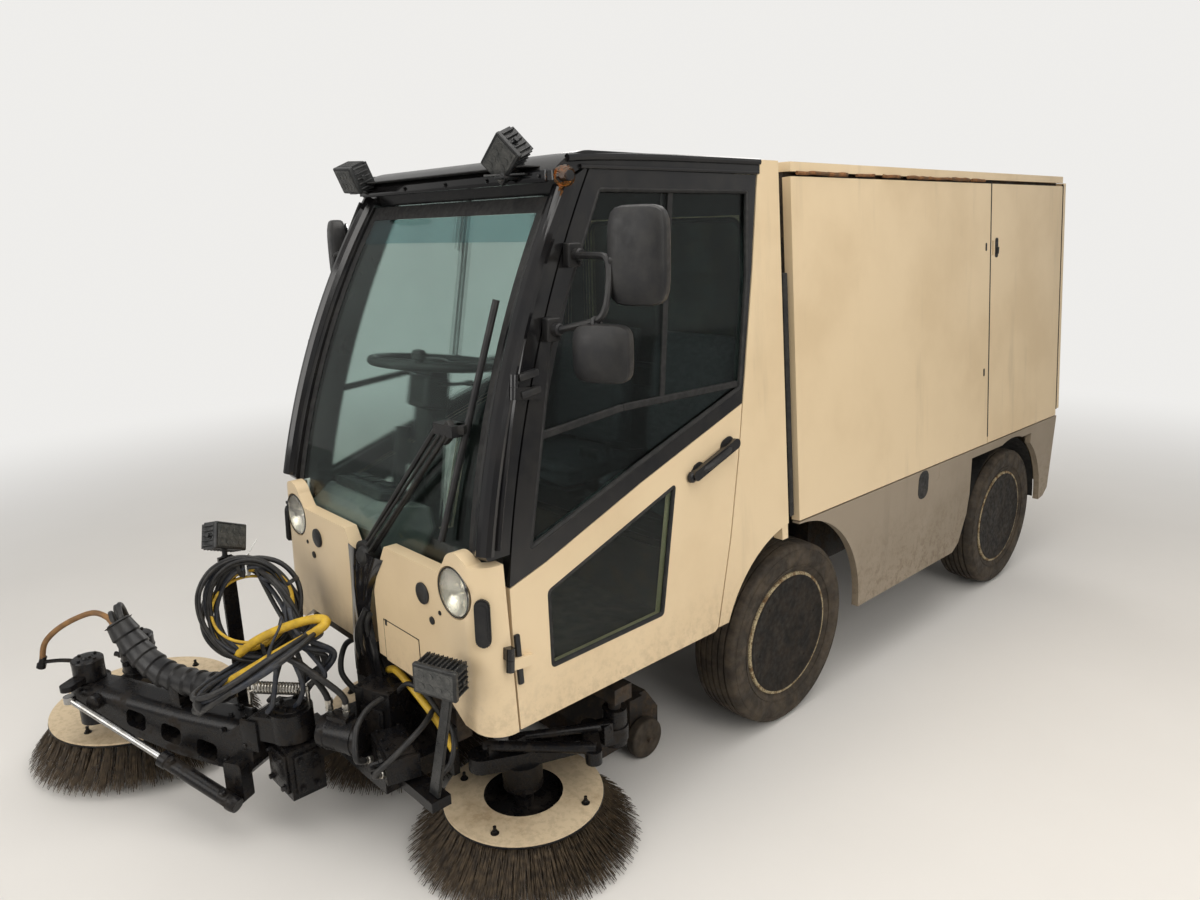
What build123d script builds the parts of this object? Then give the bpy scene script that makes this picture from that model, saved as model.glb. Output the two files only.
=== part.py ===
from build123d import *
import os
from math import atan2, cos, degrees, radians, sin, tan

# Compact road sweeper, in millimetres. The front faces -Y and the vehicle's left side is +X.
# The origin is the centre of the jacking pad under the front axle beam.

# Wheels and axles
tyre_r = 338
tyre_w = 175
rim_r = 229
wheelbase = 1776
tyre_outer_x = 553
wheel_x = tyre_outer_x - tyre_w / 2
beam_h = 90
beam_w = 70
kingpin_x = 360
kingpin_r = 15
spindle_r = 30
run_clear = 0.05
seat_gap = 0.3
motor_r = 85

# The ground lies below the jacking pad, and every height below is written above the ground
ground = beam_h / 2 - tyre_r
hub_z = ground + tyre_r

# The leaning sides of cab and hopper: half width at the reference height, and the lean
side_ref_z = ground + 768
side_ref_x = 573
side_lean = 3.98
panel_t = 32
seam = 6
roof_z = ground + 1956
roof_t = 36

# Cab
cab_front_y = -1331
cab_corner_r = 75
door_front_y = -1243
cab_rear_y = -62
cab_floor_z = ground + 530
floor_t = 25
body_mount_t = 25
seat_shelf_z = ground + 750
seat_shelf_y = -490
front_wall = 40

# Hopper
hopper_front_y = 0
side_seam_y = 1487
hopper_rear_y = wheelbase + 524
tailgate_y = hopper_rear_y + 12
tailgate_t = 46
tub_floor_z = ground + 785
tub_t = 22
tip_y = tailgate_y + 23
tip_z = ground + 745

# Chassis
front_rail_x = 165
front_rail_w = 60
rail_over_axle = 7
front_rail_low = hub_z + beam_h / 2 + rail_over_axle
front_rail_high = cab_floor_z - floor_t - body_mount_t
rear_rail_x = 305
rear_rail_w = 60
rear_rail_low = hub_z + motor_r + 2
rear_rail_high = ground + 752

# Skirts
skirt_x = 573
skirt_t = 28
front_arch_r = 420
rear_arch_r = 405

# Side brushes
side_brush_x = 362
side_brush_y = -1078
arm_pivot_x = 470
arm_pivot_y = -800
disc_top = ground + 145
disc_r = 238
disc_hole_r = 126
tip_r = 357
tip_gap = 8

# Front boom and its brush
boom_root_x = -140
boom_root_y = -1545
head_x = -835
head_y = -1915
front_brush_x = -1000
front_brush_y = -1730
front_disc_top = ground + 172
front_disc_r = 300
front_hole_r = 150
front_tip_r = 385
front_tip_gap = 30
boom_w = 120
boom_edge_r = 34

os.makedirs("parts", exist_ok=True)


def save(piece, name):
    """Label a finished piece and write it."""
    piece.label = name
    export_step(piece, f"parts/{name}.step")


def side_x(z):
    """Half width of cab and hopper at a height."""
    return side_ref_x - (z - side_ref_z) * tan(radians(side_lean))


# The left side's sketch plane: local x runs to the rear, local y up the leaning side
side_plane = Plane(
    origin=(side_ref_x, 0, side_ref_z),
    x_dir=(0, 1, 0),
    z_dir=(cos(radians(side_lean)), 0, sin(radians(side_lean))),
)


def on_side(y, height):
    """A point of the side plane, from its length position and its height above the ground."""
    return (y, (ground + height - side_ref_z) / cos(radians(side_lean)))


def envelope(inset, y_from, y_to, low, high):
    """The block between both leaning sides, each moved in by an inset."""
    with BuildPart() as block:
        with BuildSketch(Plane.XZ.offset(-y_from)):
            with BuildLine():
                Polyline(
                    (side_x(low) - inset, low),
                    (side_x(high) - inset, high),
                    (inset - side_x(high), high),
                    (inset - side_x(low), low),
                    close=True,
                )
            make_face()
        extrude(amount=y_from - y_to)
    return block.part


def bar_outline(start, end, width):
    """A round-ended bar from start to end, in the sketch that is open."""
    run = Vector(*end) - Vector(*start)
    middle = (Vector(*end) + Vector(*start)) / 2
    with Locations(middle):
        SlotCenterToCenter(run.length, width, rotation=degrees(atan2(run.Y, run.X)))


def along(start, end, distance):
    """The point at a distance from start towards end."""
    way = (Vector(*end) - Vector(*start)).normalized()
    return Vector(*start) + way * distance


def rod_between(start, end, radius):
    with BuildPart() as rod:
        with BuildSketch(Plane(origin=start, z_dir=Vector(*end) - Vector(*start))):
            Circle(radius)
        extrude(amount=(Vector(*end) - Vector(*start)).length)
    return rod.part


# Tyre: sidewalls, shoulders and a slightly crowned tread, turned about the wheel's axis
def tyre_at(x, y, name):
    half = tyre_w / 2
    with BuildPart() as tyre:
        with BuildSketch(Plane.XZ.offset(-y)):
            with BuildLine():
                shoulder = (x + half * 0.86, hub_z + tyre_r - 6)
                widest = (x + half, hub_z + 290)
                bead = (x + half * 0.78, hub_z + rim_r + 0.5)
                tread = ThreePointArc(
                    (x - half * 0.86, hub_z + tyre_r - 6), (x, hub_z + tyre_r), shoulder
                )
                ThreePointArc(shoulder, (x + half * 0.965, hub_z + 318), widest)
                ThreePointArc(widest, (x + half * 0.97, hub_z + 255), bead)
                Line(bead, (x - half * 0.78, hub_z + rim_r + 0.5))
                ThreePointArc(
                    (x - half * 0.78, hub_z + rim_r + 0.5),
                    (x - half * 0.97, hub_z + 255),
                    (x - half, hub_z + 290),
                )
                ThreePointArc(
                    (x - half, hub_z + 290), (x - half * 0.965, hub_z + 318), tread @ 0
                )
            make_face()
        revolve(axis=Axis((x, y, hub_z), (1, 0, 0)))
    save(tyre.part, name)


# Rim: rolled outer flange, barrel, web with its spindle bore, and the flat cover disc
rim_profile = [
    # distance outward from the wheel's middle, radius
    (-66, 190),
    (-66, rim_r),
    (66, rim_r),
    (76, rim_r - 3),
    (78, rim_r - 12),
    (74, 204),
    (72, 200),
    (72, spindle_r + 22),
    (62, spindle_r + 22),
    (62, 192),
    (42, 190),
    (42, spindle_r + run_clear),
    (26, spindle_r + run_clear),
    (26, 190),
]


def rim_at(x, y, name):
    out = 1 if x > 0 else -1
    with BuildPart() as rim:
        with BuildSketch(Plane.XZ.offset(-y)):
            with BuildLine():
                Polyline(*[(x + out * d, hub_z + r) for d, r in rim_profile], close=True)
            make_face()
        revolve(axis=Axis((x, y, hub_z), (1, 0, 0)))
    save(rim.part, name)


wheels = [
    # name, side, length position
    ("front_left", 1, 0),
    ("front_right", -1, 0),
    ("rear_left", 1, wheelbase),
    ("rear_right", -1, wheelbase),
]
for where, side, y in wheels:
    tyre_at(side * wheel_x, y, f"tyre_{where}")
    rim_at(side * wheel_x, y, f"rim_{where}")

# Axles: front beam with an eye for each kingpin, rear beam with wheel motors and spindles
eye_r = 32
eye_h = beam_h - 10
spindle_end = wheel_x + 56
with BuildPart() as axles:
    with BuildSketch(Plane.YZ.offset(eye_r + 6 - kingpin_x)):
        with Locations((0, hub_z)):
            RectangleRounded(beam_w, beam_h, 8)
    extrude(amount=2 * (kingpin_x - eye_r - 6))
    with Locations((0, 0, hub_z)):
        Box(2 * kingpin_x, 2 * eye_r - 14, eye_h)
    with BuildSketch(Plane.XY.offset(hub_z - eye_h / 2)):
        with Locations((kingpin_x, 0), (-kingpin_x, 0)):
            Circle(eye_r)
    extrude(amount=eye_h)
    with BuildSketch(Plane.XY.offset(hub_z - eye_h / 2)):
        with Locations((kingpin_x, 0), (-kingpin_x, 0)):
            Circle(kingpin_r + run_clear)
    extrude(amount=eye_h, mode=Mode.SUBTRACT)
    with Locations((0, wheelbase, hub_z)):
        Cylinder(45, 2 * 330, rotation=(0, 90, 0))
    with Locations((310, wheelbase, hub_z), (-310, wheelbase, hub_z)):
        Cylinder(motor_r, 90, rotation=(0, 90, 0))
    for side in (1, -1):
        with Locations((side * (355 + spindle_end) / 2, wheelbase, hub_z)):
            Cylinder(spindle_r, spindle_end - 355, rotation=(0, 90, 0))
    with Locations((0, wheelbase, hub_z - 45)):
        Box(90, 90, 16)
save(axles.part, "axles")

# Steering knuckles: two lugs on the kingpin, an upright and the wheel's spindle
lug_gap = 1
lug_t = 16
upright_x = kingpin_x + eye_r + 8
upright_t = 20
for name, side in (("knuckle_left", 1), ("knuckle_right", -1)):
    with BuildPart() as knuckle:
        for low in (hub_z + eye_h / 2 + lug_gap, hub_z - eye_h / 2 - lug_gap - lug_t):
            with BuildSketch(Plane.XY.offset(low)):
                with Locations((side * kingpin_x, 0)):
                    Circle(eye_r - 2)
                with Locations((side * (kingpin_x + upright_x) / 2, 0)):
                    Rectangle(upright_x - kingpin_x, 2 * eye_r - 8)
            extrude(amount=lug_t)
        with Locations((side * kingpin_x, 0, hub_z)):
            Cylinder(kingpin_r, eye_h + 2 * lug_gap + 2 * lug_t)
        with Locations((side * (upright_x + upright_t / 2 - 4), 0, hub_z)):
            Box(upright_t, 2 * eye_r - 8, eye_h + 2 * lug_gap + 2 * lug_t)
        with Locations((side * (upright_x + spindle_end) / 2, 0, hub_z)):
            Cylinder(spindle_r, spindle_end - upright_x, rotation=(0, 90, 0))
    save(knuckle.part, name)

# Chassis: narrow rails under the cab, deeper fabricated rails behind, joined by cross members
cross_y = 420
tow_y = tailgate_y + 10
rail_end_y = tailgate_y - 57
tow_z = ground + 400
tow_t = 24
tow_hole_r = 13
with BuildPart() as chassis:
    for side in (1, -1):
        with BuildSketch(Plane.YZ.offset(side * front_rail_x - front_rail_w / 2)):
            with BuildLine():
                Polyline(
                    (-1230, front_rail_low),
                    (-1230, front_rail_high),
                    (cross_y + 60, front_rail_high),
                    (cross_y + 60, front_rail_low),
                    close=True,
                )
            make_face()
        extrude(amount=front_rail_w)
        with BuildSketch(Plane.YZ.offset(side * rear_rail_x - rear_rail_w / 2)):
            with BuildLine():
                Polyline(
                    (cross_y, rear_rail_low),
                    (cross_y, rear_rail_high),
                    (rail_end_y, rear_rail_high),
                    (rail_end_y, ground + 560),
                    (rail_end_y - 105, rear_rail_low),
                    close=True,
                )
            make_face()
            with Locations((900, ground + 610)):
                RectangleRounded(640, 150, 30, mode=Mode.SUBTRACT)
            with Locations((1740, ground + 610)):
                RectangleRounded(700, 150, 30, mode=Mode.SUBTRACT)
        extrude(amount=rear_rail_w)
    with Locations((0, cross_y + 30, ground + 465)):
        Box(2 * rear_rail_x, 60, 80)
    with Locations((0, rail_end_y - 30, ground + 690)):
        Box(2 * rear_rail_x, 60, 90)
    with Locations((0, 1330, ground + 480)):
        Box(2 * rear_rail_x, 60, 80)
    with Locations((0, rail_end_y - 17, ground + 524)):
        Box(80, 20, 272)
    with Locations((0, tow_y - 32, tow_z)):
        Box(80, 110, tow_t)
    with Locations((0, tow_y, tow_z)):
        Cylinder(tow_hole_r, tow_t, mode=Mode.SUBTRACT)
    with Locations((0, -1215, ground + 400)):
        Box(560, 50, 110)
    with Locations((0, arm_pivot_y, ground + 410)):
        Box(2 * arm_pivot_x + 80, 70, 50)
    with Locations((0, -560, (front_rail_high + cab_floor_z - floor_t) / 2 - 5)):
        Box(760, 60, cab_floor_z - floor_t - front_rail_high + 10)
    for side in (1, -1):
        for x, y, low, high in (
            (front_rail_x, 0, hub_z + beam_h / 2 + seat_gap, front_rail_low),
            (rear_rail_x, wheelbase, hub_z + motor_r + seat_gap, rear_rail_low),
        ):
            with Locations((side * x, y, (low + high + 20) / 2)):
                Box(50, 60, high + 20 - low)
    for side in (1, -1):
        with Locations((side * arm_pivot_x, arm_pivot_y, ground + 305)):
            Cylinder(20, 170)
        for y in (480, 1200):
            with Locations((side * (skirt_x - skirt_t - seat_gap - 105), y, ground + 690)):
                Box(210, 40, 50)
    for side in (1, -1):
        with BuildSketch(Plane.YZ.offset(side * 262 - 10)):
            with BuildLine():
                Polyline(
                    (rail_end_y - 55, ground + 650),
                    (rail_end_y - 55, ground + 730),
                    (tip_y, tip_z + 18),
                    (tip_y, tip_z - 20),
                    (rail_end_y - 5, ground + 650),
                    close=True,
                )
            make_face()
            with Locations((tip_y, tip_z)):
                Circle(22)
        extrude(amount=20)
        with Locations((side * 245, tip_y, tip_z)):
            Cylinder(15, 54, rotation=(0, 90, 0))
    with Locations((0, 1400, ground + 480)):
        Box(116, 130, 40)
    for low_x in (-58, 40):
        with BuildSketch(Plane.YZ.offset(low_x)):
            with Locations((1500, ground + 470)):
                Circle(28)
            with Locations((1470, ground + 470)):
                Rectangle(60, 40)
        extrude(amount=18)
    with Locations((0, 1500, ground + 470)):
        Cylinder(12, 116, rotation=(0, 90, 0))
save(chassis.part, "chassis_frame")

# Engine with its pump, one plain block between the rear rails
with BuildPart() as engine:
    with Locations((0, 850, ground + 545)):
        Box(500, 620, 400)
    fillet(engine.edges().filter_by(Axis.Z), 40)
    for y in (680, 1020):
        with Locations((0, y, ground + 480)):
            Box(2 * (rear_rail_x - rear_rail_w / 2 - seat_gap), 60, 40)
save(engine.part, "engine_block")

# Cab floor: a plate under the feet that steps up over the front wheels into the seat shelf
with BuildPart() as cab_floor:
    with BuildSketch(Plane.YZ.offset(-600)):
        with BuildLine():
            Polyline(
                (cab_front_y + front_wall + seat_gap, cab_floor_z - floor_t),
                (cab_front_y + front_wall + seat_gap, ground + 655),
                (-1272, ground + 655),
                (-1272, cab_floor_z),
                (seat_shelf_y, cab_floor_z),
                (seat_shelf_y, seat_shelf_z),
                (cab_rear_y - panel_t - seat_gap, seat_shelf_z),
                (cab_rear_y - panel_t - seat_gap, seat_shelf_z - floor_t),
                (seat_shelf_y + floor_t, seat_shelf_z - floor_t),
                (seat_shelf_y + floor_t, cab_floor_z - floor_t),
                close=True,
            )
        make_face()
    extrude(amount=1200)
    add(envelope(panel_t + 8, -1400, 0, ground + 400, ground + 900), mode=Mode.INTERSECT)
    floor_corners = cab_floor.edges().filter_by(Axis.Z, tolerance=6).sort_by(Axis.Y)[:2]
    fillet(floor_corners, cab_corner_r - panel_t + 20)
save(cab_floor.part, "cab_floor")

# Cab corner hoop: the two panels behind the doors, the rear wall and the band over the roof's end
wheel_cut_r = 445
with BuildPart() as cab_hoop:
    with BuildSketch(side_plane):
        with BuildLine():
            Polyline(
                on_side(-158, 1956),
                on_side(-158, 1916),
                on_side(-171, 1911),
                on_side(-212, 1629),
                on_side(-284, 1229),
                on_side(-315, 1056),
                on_side(-369, 809),
                on_side(-449, 533),
                on_side(cab_rear_y, 533),
                on_side(cab_rear_y, 1956),
                close=True,
            )
        make_face()
        with Locations(on_side(0, tyre_r)):
            Circle(wheel_cut_r, mode=Mode.SUBTRACT)
    extrude(amount=-panel_t)
    mirror(about=Plane.YZ)
    with BuildSketch(Plane.XZ.offset(-(cab_rear_y - panel_t))):
        with BuildLine():
            Polyline(
                (side_x(seat_shelf_z - floor_t) - 4, seat_shelf_z - floor_t),
                (side_x(roof_z) - 4, roof_z),
                (4 - side_x(roof_z), roof_z),
                (4 - side_x(seat_shelf_z - floor_t), seat_shelf_z - floor_t),
                close=True,
            )
        make_face()
        with Locations((0, ground + 1480)):
            RectangleRounded(760, 620, 50, mode=Mode.SUBTRACT)
    extrude(amount=-panel_t)
    with Locations((0, (-158 + cab_rear_y) / 2, roof_z - roof_t / 2)):
        Box(2 * side_x(roof_z) - 8, cab_rear_y + 158, roof_t)
save(cab_hoop.part, "cab_hoop")

# Roof with the visor lip over the windscreen
with BuildPart() as cab_roof:
    with BuildSketch(Plane.YZ.offset(-600)):
        with BuildLine():
            Polyline((-985, ground + 1882), (-985, ground + 1905))
            ThreePointArc((-985, ground + 1905), (-930, ground + 1942), (-850, roof_z))
            Polyline(
                (-850, roof_z),
                (-158 - seat_gap, roof_z),
                (-158 - seat_gap, roof_z - roof_t),
                (-880, roof_z - roof_t),
                (-945, ground + 1888),
                (-985, ground + 1882),
            )
        make_face()
    extrude(amount=1200)
    add(envelope(1, -1400, 0, ground + 1800, ground + 2000), mode=Mode.INTERSECT)
    fillet(cab_roof.edges().filter_by(Axis.Z, tolerance=6).sort_by(Axis.Y)[:2], 12)
save(cab_roof.part, "cab_roof")

# Door hinges lean with the pillar: points of the axis at two heights, outboard of the panel
hinge_out = 15
hinge_low = (side_x(ground + 600) + hinge_out, -1282, ground + 600)
hinge_high = (side_x(ground + 1400) + hinge_out, -1179, ground + 1400)
knuckle_r = 11
knuckle_len = 30
pin_r = 5


def hinge_plane(half, height):
    """The plane across the hinge axis at a height: local x runs rearward."""
    share = (height - 600) / 800
    low = Vector(half * hinge_low[0], hinge_low[1], hinge_low[2])
    high = Vector(half * hinge_high[0], hinge_high[1], hinge_high[2])
    return Plane(origin=low + (high - low) * share, x_dir=(0, 1, 0), z_dir=high - low)


def fixed_hinge(half, height):
    """Upper knuckle with its pin and a foot on the body's surface."""
    with BuildPart(mode=Mode.PRIVATE) as hinge:
        with BuildSketch(hinge_plane(half, height)):
            Circle(knuckle_r)
            with Locations((0, half * (hinge_out + 1) / 2)):
                Rectangle(2 * knuckle_r, hinge_out + 1)
        extrude(amount=knuckle_len)
        with BuildSketch(hinge_plane(half, height)):
            Circle(pin_r)
        extrude(amount=-knuckle_len - 1)
    return hinge.part


def door_hinge(height, reach):
    """Lower knuckle with its bore, on a leaf that reaches back to the door's surface."""
    with BuildPart(mode=Mode.PRIVATE) as hinge:
        with BuildSketch(hinge_plane(1, height).offset(-knuckle_len - 1)):
            Circle(knuckle_r)
            with Locations((reach / 2, 4)):
                Rectangle(reach, 8)
            with Locations((reach + 10, (hinge_out + 1) / 2)):
                Rectangle(24, hinge_out + 1)
            Circle(pin_r + run_clear, mode=Mode.SUBTRACT)
        extrude(amount=knuckle_len)
    return hinge.part


# Black corner pillars, bowed in side view, with the header under the visor and door sills
pillar_t = 56
header_z = ground + 1888
header_lap = 16
with BuildPart() as pillars:
    with BuildSketch(side_plane):
        with BuildLine():
            front = ThreePointArc(on_side(-946, 1878), on_side(-1159, 1465), on_side(-1298, 1000))
            back = ThreePointArc(
                on_side(-868 - seam, 1911), on_side(-1085 - seam, 1465), on_side(-1236 - seam, 905)
            )
            Polyline(front @ 0, on_side(-884, 1911), back @ 0)
            Line(front @ 1, back @ 1)
        make_face()
        with Locations(on_side(-1250, 899)):
            Rectangle(200, 180, mode=Mode.SUBTRACT)
    extrude(amount=-pillar_t)
    mirror(about=Plane.YZ)
    header_half = side_x(header_z) - pillar_t + header_lap
    with BuildSketch(Plane.YZ.offset(-header_half)):
        with BuildLine():
            Polyline(
                (-944, header_z - seat_gap),
                (-881, header_z + 31 - seat_gap),
                (-881, header_z - 8),
                (-922, header_z - 40),
                (-934, header_z - 38),
                close=True,
            )
        make_face()
    extrude(amount=2 * header_half)
    add([fixed_hinge(1, 1400), fixed_hinge(-1, 1400)])
save(pillars.part, "cab_pillars")

# Front panel: rounded corners, a top edge raised over each headlamp, a notch in the middle
lamp_x = 452
lamp_z = ground + 888
lamp_r = 70
front_outline = [
    # distance from the middle, height above the ground
    (36, 572),
    (400, 572),
    (470, 524),
    (640, 520),
    (640, 967),
    (512, 972),
]
with BuildPart() as front_shell:
    add(envelope(0, cab_front_y, door_front_y - seam, ground + 480, ground + 1060))
    front_edges = front_shell.edges().filter_by(Axis.Z, tolerance=6).sort_by(Axis.Y)[:2]
    fillet(front_edges, cab_corner_r)
with BuildPart() as front_core:
    add(envelope(panel_t, cab_front_y + front_wall, 0, ground + 400, ground + 1100))
    core_edges = front_core.edges().filter_by(Axis.Z, tolerance=6).sort_by(Axis.Y)[:2]
    fillet(core_edges, cab_corner_r - panel_t)
with BuildPart() as front_panel:
    add(front_shell.part)
    add(front_core.part, mode=Mode.SUBTRACT)
    with BuildSketch(Plane.XZ.offset(-cab_front_y + 10)):
        with BuildLine():
            lower = Polyline(*[(x, ground + h) for x, h in front_outline])
            bump = ThreePointArc(lower @ 1, (468, ground + 997), (418, ground + 965))
            Polyline(
                bump @ 1,
                (385, ground + 925),
                (115, ground + 923),
                (70, ground + 850),
                (36, ground + 770),
                (36, ground + 572),
            )
        make_face()
        mirror(about=Plane.YZ)
    extrude(amount=-200, mode=Mode.INTERSECT)
    with Locations((lamp_x, cab_front_y, lamp_z), (-lamp_x, cab_front_y, lamp_z)):
        Cylinder(lamp_r + seat_gap, 200, rotation=(90, 0, 0), mode=Mode.SUBTRACT)
    add([fixed_hinge(1, 730), fixed_hinge(-1, 730)])
save(front_panel.part, "front_panel")

# Headlamps, round indicators and the upright side markers
with BuildPart() as front_lamps:
    for side in (1, -1):
        with Locations((side * lamp_x, cab_front_y + 16, lamp_z)):
            Cylinder(lamp_r, 40, rotation=(90, 0, 0))
        with Locations((side * 307, cab_front_y - 6 - seat_gap, ground + 844)):
            Cylinder(30, 12, rotation=(90, 0, 0))
        corner_x = side_x(ground + 832) - cab_corner_r
        reach = (cab_corner_r + seat_gap) * sin(radians(45))
        with BuildSketch(
            Plane(
                origin=(side * (corner_x + reach), cab_front_y + cab_corner_r - reach, ground + 832),
                x_dir=(side * sin(radians(45)), cos(radians(45)), 0),
                z_dir=(side * sin(radians(45)), -cos(radians(45)), sin(radians(side_lean)) / 1.4),
            )
        ):
            SlotOverall(130, 42, rotation=90)
        extrude(amount=18)
save(front_lamps.part, "front_lamps")

# Glass: the bowed windscreen, and the rear window in the wall behind the seats
with BuildPart() as cab_glass:
    with BuildSketch(Plane.YZ.offset(-600)):
        with BuildLine():
            outer = ThreePointArc((-935, ground + 1874), (-1147, ground + 1465), (-1286, ground + 985))
            Polyline(outer @ 1, (-1286, ground + 665), (-1280, ground + 665), (-1280, ground + 985))
            inner = ThreePointArc((-1280, ground + 985), (-1141, ground + 1465), (-929, ground + 1874))
            Line(inner @ 1, outer @ 0)
        make_face()
    extrude(amount=1200)
    add(envelope(pillar_t + seat_gap, -1400, 0, ground + 600, ground + 1847), mode=Mode.INTERSECT)
    with BuildSketch(Plane.XZ.offset(-(cab_rear_y - 20))):
        with Locations((0, ground + 1480)):
            RectangleRounded(759.4, 619.4, 49.7)
    extrude(amount=-8)
save(cab_glass.part, "cab_glass")

# Doors: a cream skin with its low window, a black window frame and the panes
door_lower = [
    # length position, height above the ground
    (-290, 1223),
    (-321, 1056),
    (-375, 809),
    (-455, 533),
    (-470, 525),
    (door_front_y, 525),
    (door_front_y, 700),
    (-1236, 902),
]
low_window = [(-1122, 655), (-1114, 858), (-618, 1030), (-699, 660)]
glass_clear = 0.4


def low_opening():
    """Outline of the pane low in the door skin."""
    with BuildLine(mode=Mode.PRIVATE) as outline:
        Polyline(*[on_side(y, h) for y, h in low_window], close=True)
    return outline.edges()


def upper_opening():
    """Outline of the main pane inside its frame."""
    with BuildLine(mode=Mode.PRIVATE) as outline:
        bow = ThreePointArc(on_side(-838, 1862), on_side(-1025, 1465), on_side(-1160, 985))
        Polyline(
            bow @ 1,
            on_side(-760, 1120),
            on_side(-294, 1272),
            on_side(-240, 1600),
            on_side(-222, 1862),
            bow @ 0,
        )
    return outline.edges()


def door_skin(side, name):
    with BuildPart() as skin:
        with BuildSketch(side_plane):
            with BuildLine():
                edge = Polyline(*[on_side(y, h) for y, h in door_lower])
                Polyline(edge @ 1, on_side(-1115, 938), on_side(-760, 1067), edge @ 0)
            make_face()
            make_face(low_opening(), mode=Mode.SUBTRACT)
        extrude(amount=-panel_t)
        add(door_hinge(730, 52))
    piece = skin.part if side > 0 else mirror(skin.part, about=Plane.YZ)
    save(piece, name)


def door_frame(side, name):
    with BuildPart() as frame:
        with BuildSketch(side_plane):
            with BuildLine():
                front = ThreePointArc(
                    on_side(-868, 1911), on_side(-1085, 1465), on_side(-1236, 905)
                )
                belt = Polyline(
                    front @ 1, on_side(-1115, 940), on_side(-760, 1069), on_side(-290, 1225)
                )
                Polyline(belt @ 1, on_side(-218, 1629), on_side(-177, 1911), front @ 0)
            make_face()
            make_face(upper_opening(), mode=Mode.SUBTRACT)
        extrude(amount=-panel_t)
        add(door_hinge(1400, 72))
        with BuildSketch(side_plane.offset(26)):
            bar_outline(on_side(-541, 1047), on_side(-353, 1109), 32)
        extrude(amount=-14)
        with BuildSketch(side_plane.offset(0.5)):
            with Locations(on_side(-535, 1049), on_side(-362, 1106)):
                Circle(14)
        extrude(amount=14)
    piece = frame.part if side > 0 else mirror(frame.part, about=Plane.YZ)
    save(piece, name)


def door_glass(side, name):
    with BuildPart() as glass:
        for opening in (upper_opening, low_opening):
            with BuildSketch(side_plane.offset(-12)):
                make_face(opening())
                offset(amount=-glass_clear, kind=Kind.INTERSECTION)
            extrude(amount=-5)
    piece = glass.part if side > 0 else mirror(glass.part, about=Plane.YZ)
    save(piece, name)


for side, where in ((1, "left"), (-1, "right")):
    door_skin(side, f"door_skin_{where}")
    door_frame(side, f"door_frame_{where}")
    door_glass(side, f"door_glass_{where}")

# Mirrors: a tall one and a wide one on a bent tube from two brackets on each door frame
def mirror_pair(side, name):
    with BuildPart() as pair:
        with BuildLine(mode=Mode.PRIVATE) as tube_path:
            FilletPolyline(
                (530, -962, ground + 1701),
                (640, -1010, ground + 1700),
                (700, -1020, ground + 1600),
                (690, -1035, ground + 1500),
                (545, -1050, ground + 1524),
                radius=30,
            )
        with BuildSketch(Plane(origin=tube_path.line @ 0, z_dir=tube_path.line % 0)):
            Circle(9)
        sweep(path=tube_path.line)
        for y, h in ((-960, 1701), (-1046, 1524)):
            with BuildSketch(side_plane.offset(seat_gap)):
                with Locations(on_side(y, h)):
                    RectangleRounded(44, 60, 6)
            extrude(amount=26)
        with Locations(Location((745, -950, ground + 1700), (0, 0, 20))):
            Box(150, 60, 230)
        with Locations(Location((690, -1020, ground + 1475), (0, 0, 20))):
            Box(140, 60, 110)
        with Locations((680, -980, ground + 1690)):
            Box(40, 80, 30)
    piece = pair.part if side > 0 else mirror(pair.part, about=Plane.YZ)
    save(piece, name)


mirror_pair(1, "mirrors_left")
mirror_pair(-1, "mirrors_right")

# Work lamps: two on the roof and one on a post in front, and the clearance lamp by the visor
roof_lamps = [
    # across, along, height above the ground, turn about Z
    (-430, -1030, 1938, -12),
    (345, -1015, 1968, 25),
]
with BuildPart() as work_lamps:
    for x, y, h, turn in roof_lamps:
        with Locations(Location((x, y, ground + h), (-18, 0, turn))):
            Box(120, 62, 70)
        with Locations((x, -1015.3, ground + 1894)):
            Box(36, 60, 8)
        with Locations((x, -1015, ground + (h + 1890) / 2)):
            Cylinder(9, h - 1890)
    with Locations(Location((498, -1412, ground + 705), (0, 0, 20))):
        Box(124, 70, 84)
    with BuildSketch(Plane.XZ.offset(1393)):
        with BuildLine():
            Polyline(
                (363, ground + 300 + seat_gap),
                (407, ground + 300 + seat_gap),
                (515, ground + 670),
                (471, ground + 670),
                close=True,
            )
        make_face()
    extrude(amount=12)
    with Locations((522, -975, ground + 1890)):
        Cylinder(26, 22, rotation=(0, 90, 0))
    with Locations((505, -965, ground + 1893)):
        Cylinder(8, 20.4, rotation=(0, 90, 0))
save(work_lamps.part, "work_lamps")

# Wiper: twin parallel arms from a pivot low on the screen, and the upright blade
with BuildPart() as wiper:
    add(rod_between((-40, -1312, ground + 880), (330, -1262, ground + 1290), 7))
    add(rod_between((-5, -1312, ground + 860), (370, -1262, ground + 1275), 7))
    add(rod_between((375, -1305, ground + 1000), (440, -1140, ground + 1600), 9))
    with Locations((-20, (-1286 - seat_gap - 1328) / 2, ground + 865)):
        Cylinder(40, 1328 - 1286 - seat_gap, rotation=(90, 0, 0))
    with Locations((365, -1248, ground + 1283)):
        Box(84, 50, 30)
save(wiper.part, "wiper")

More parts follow.
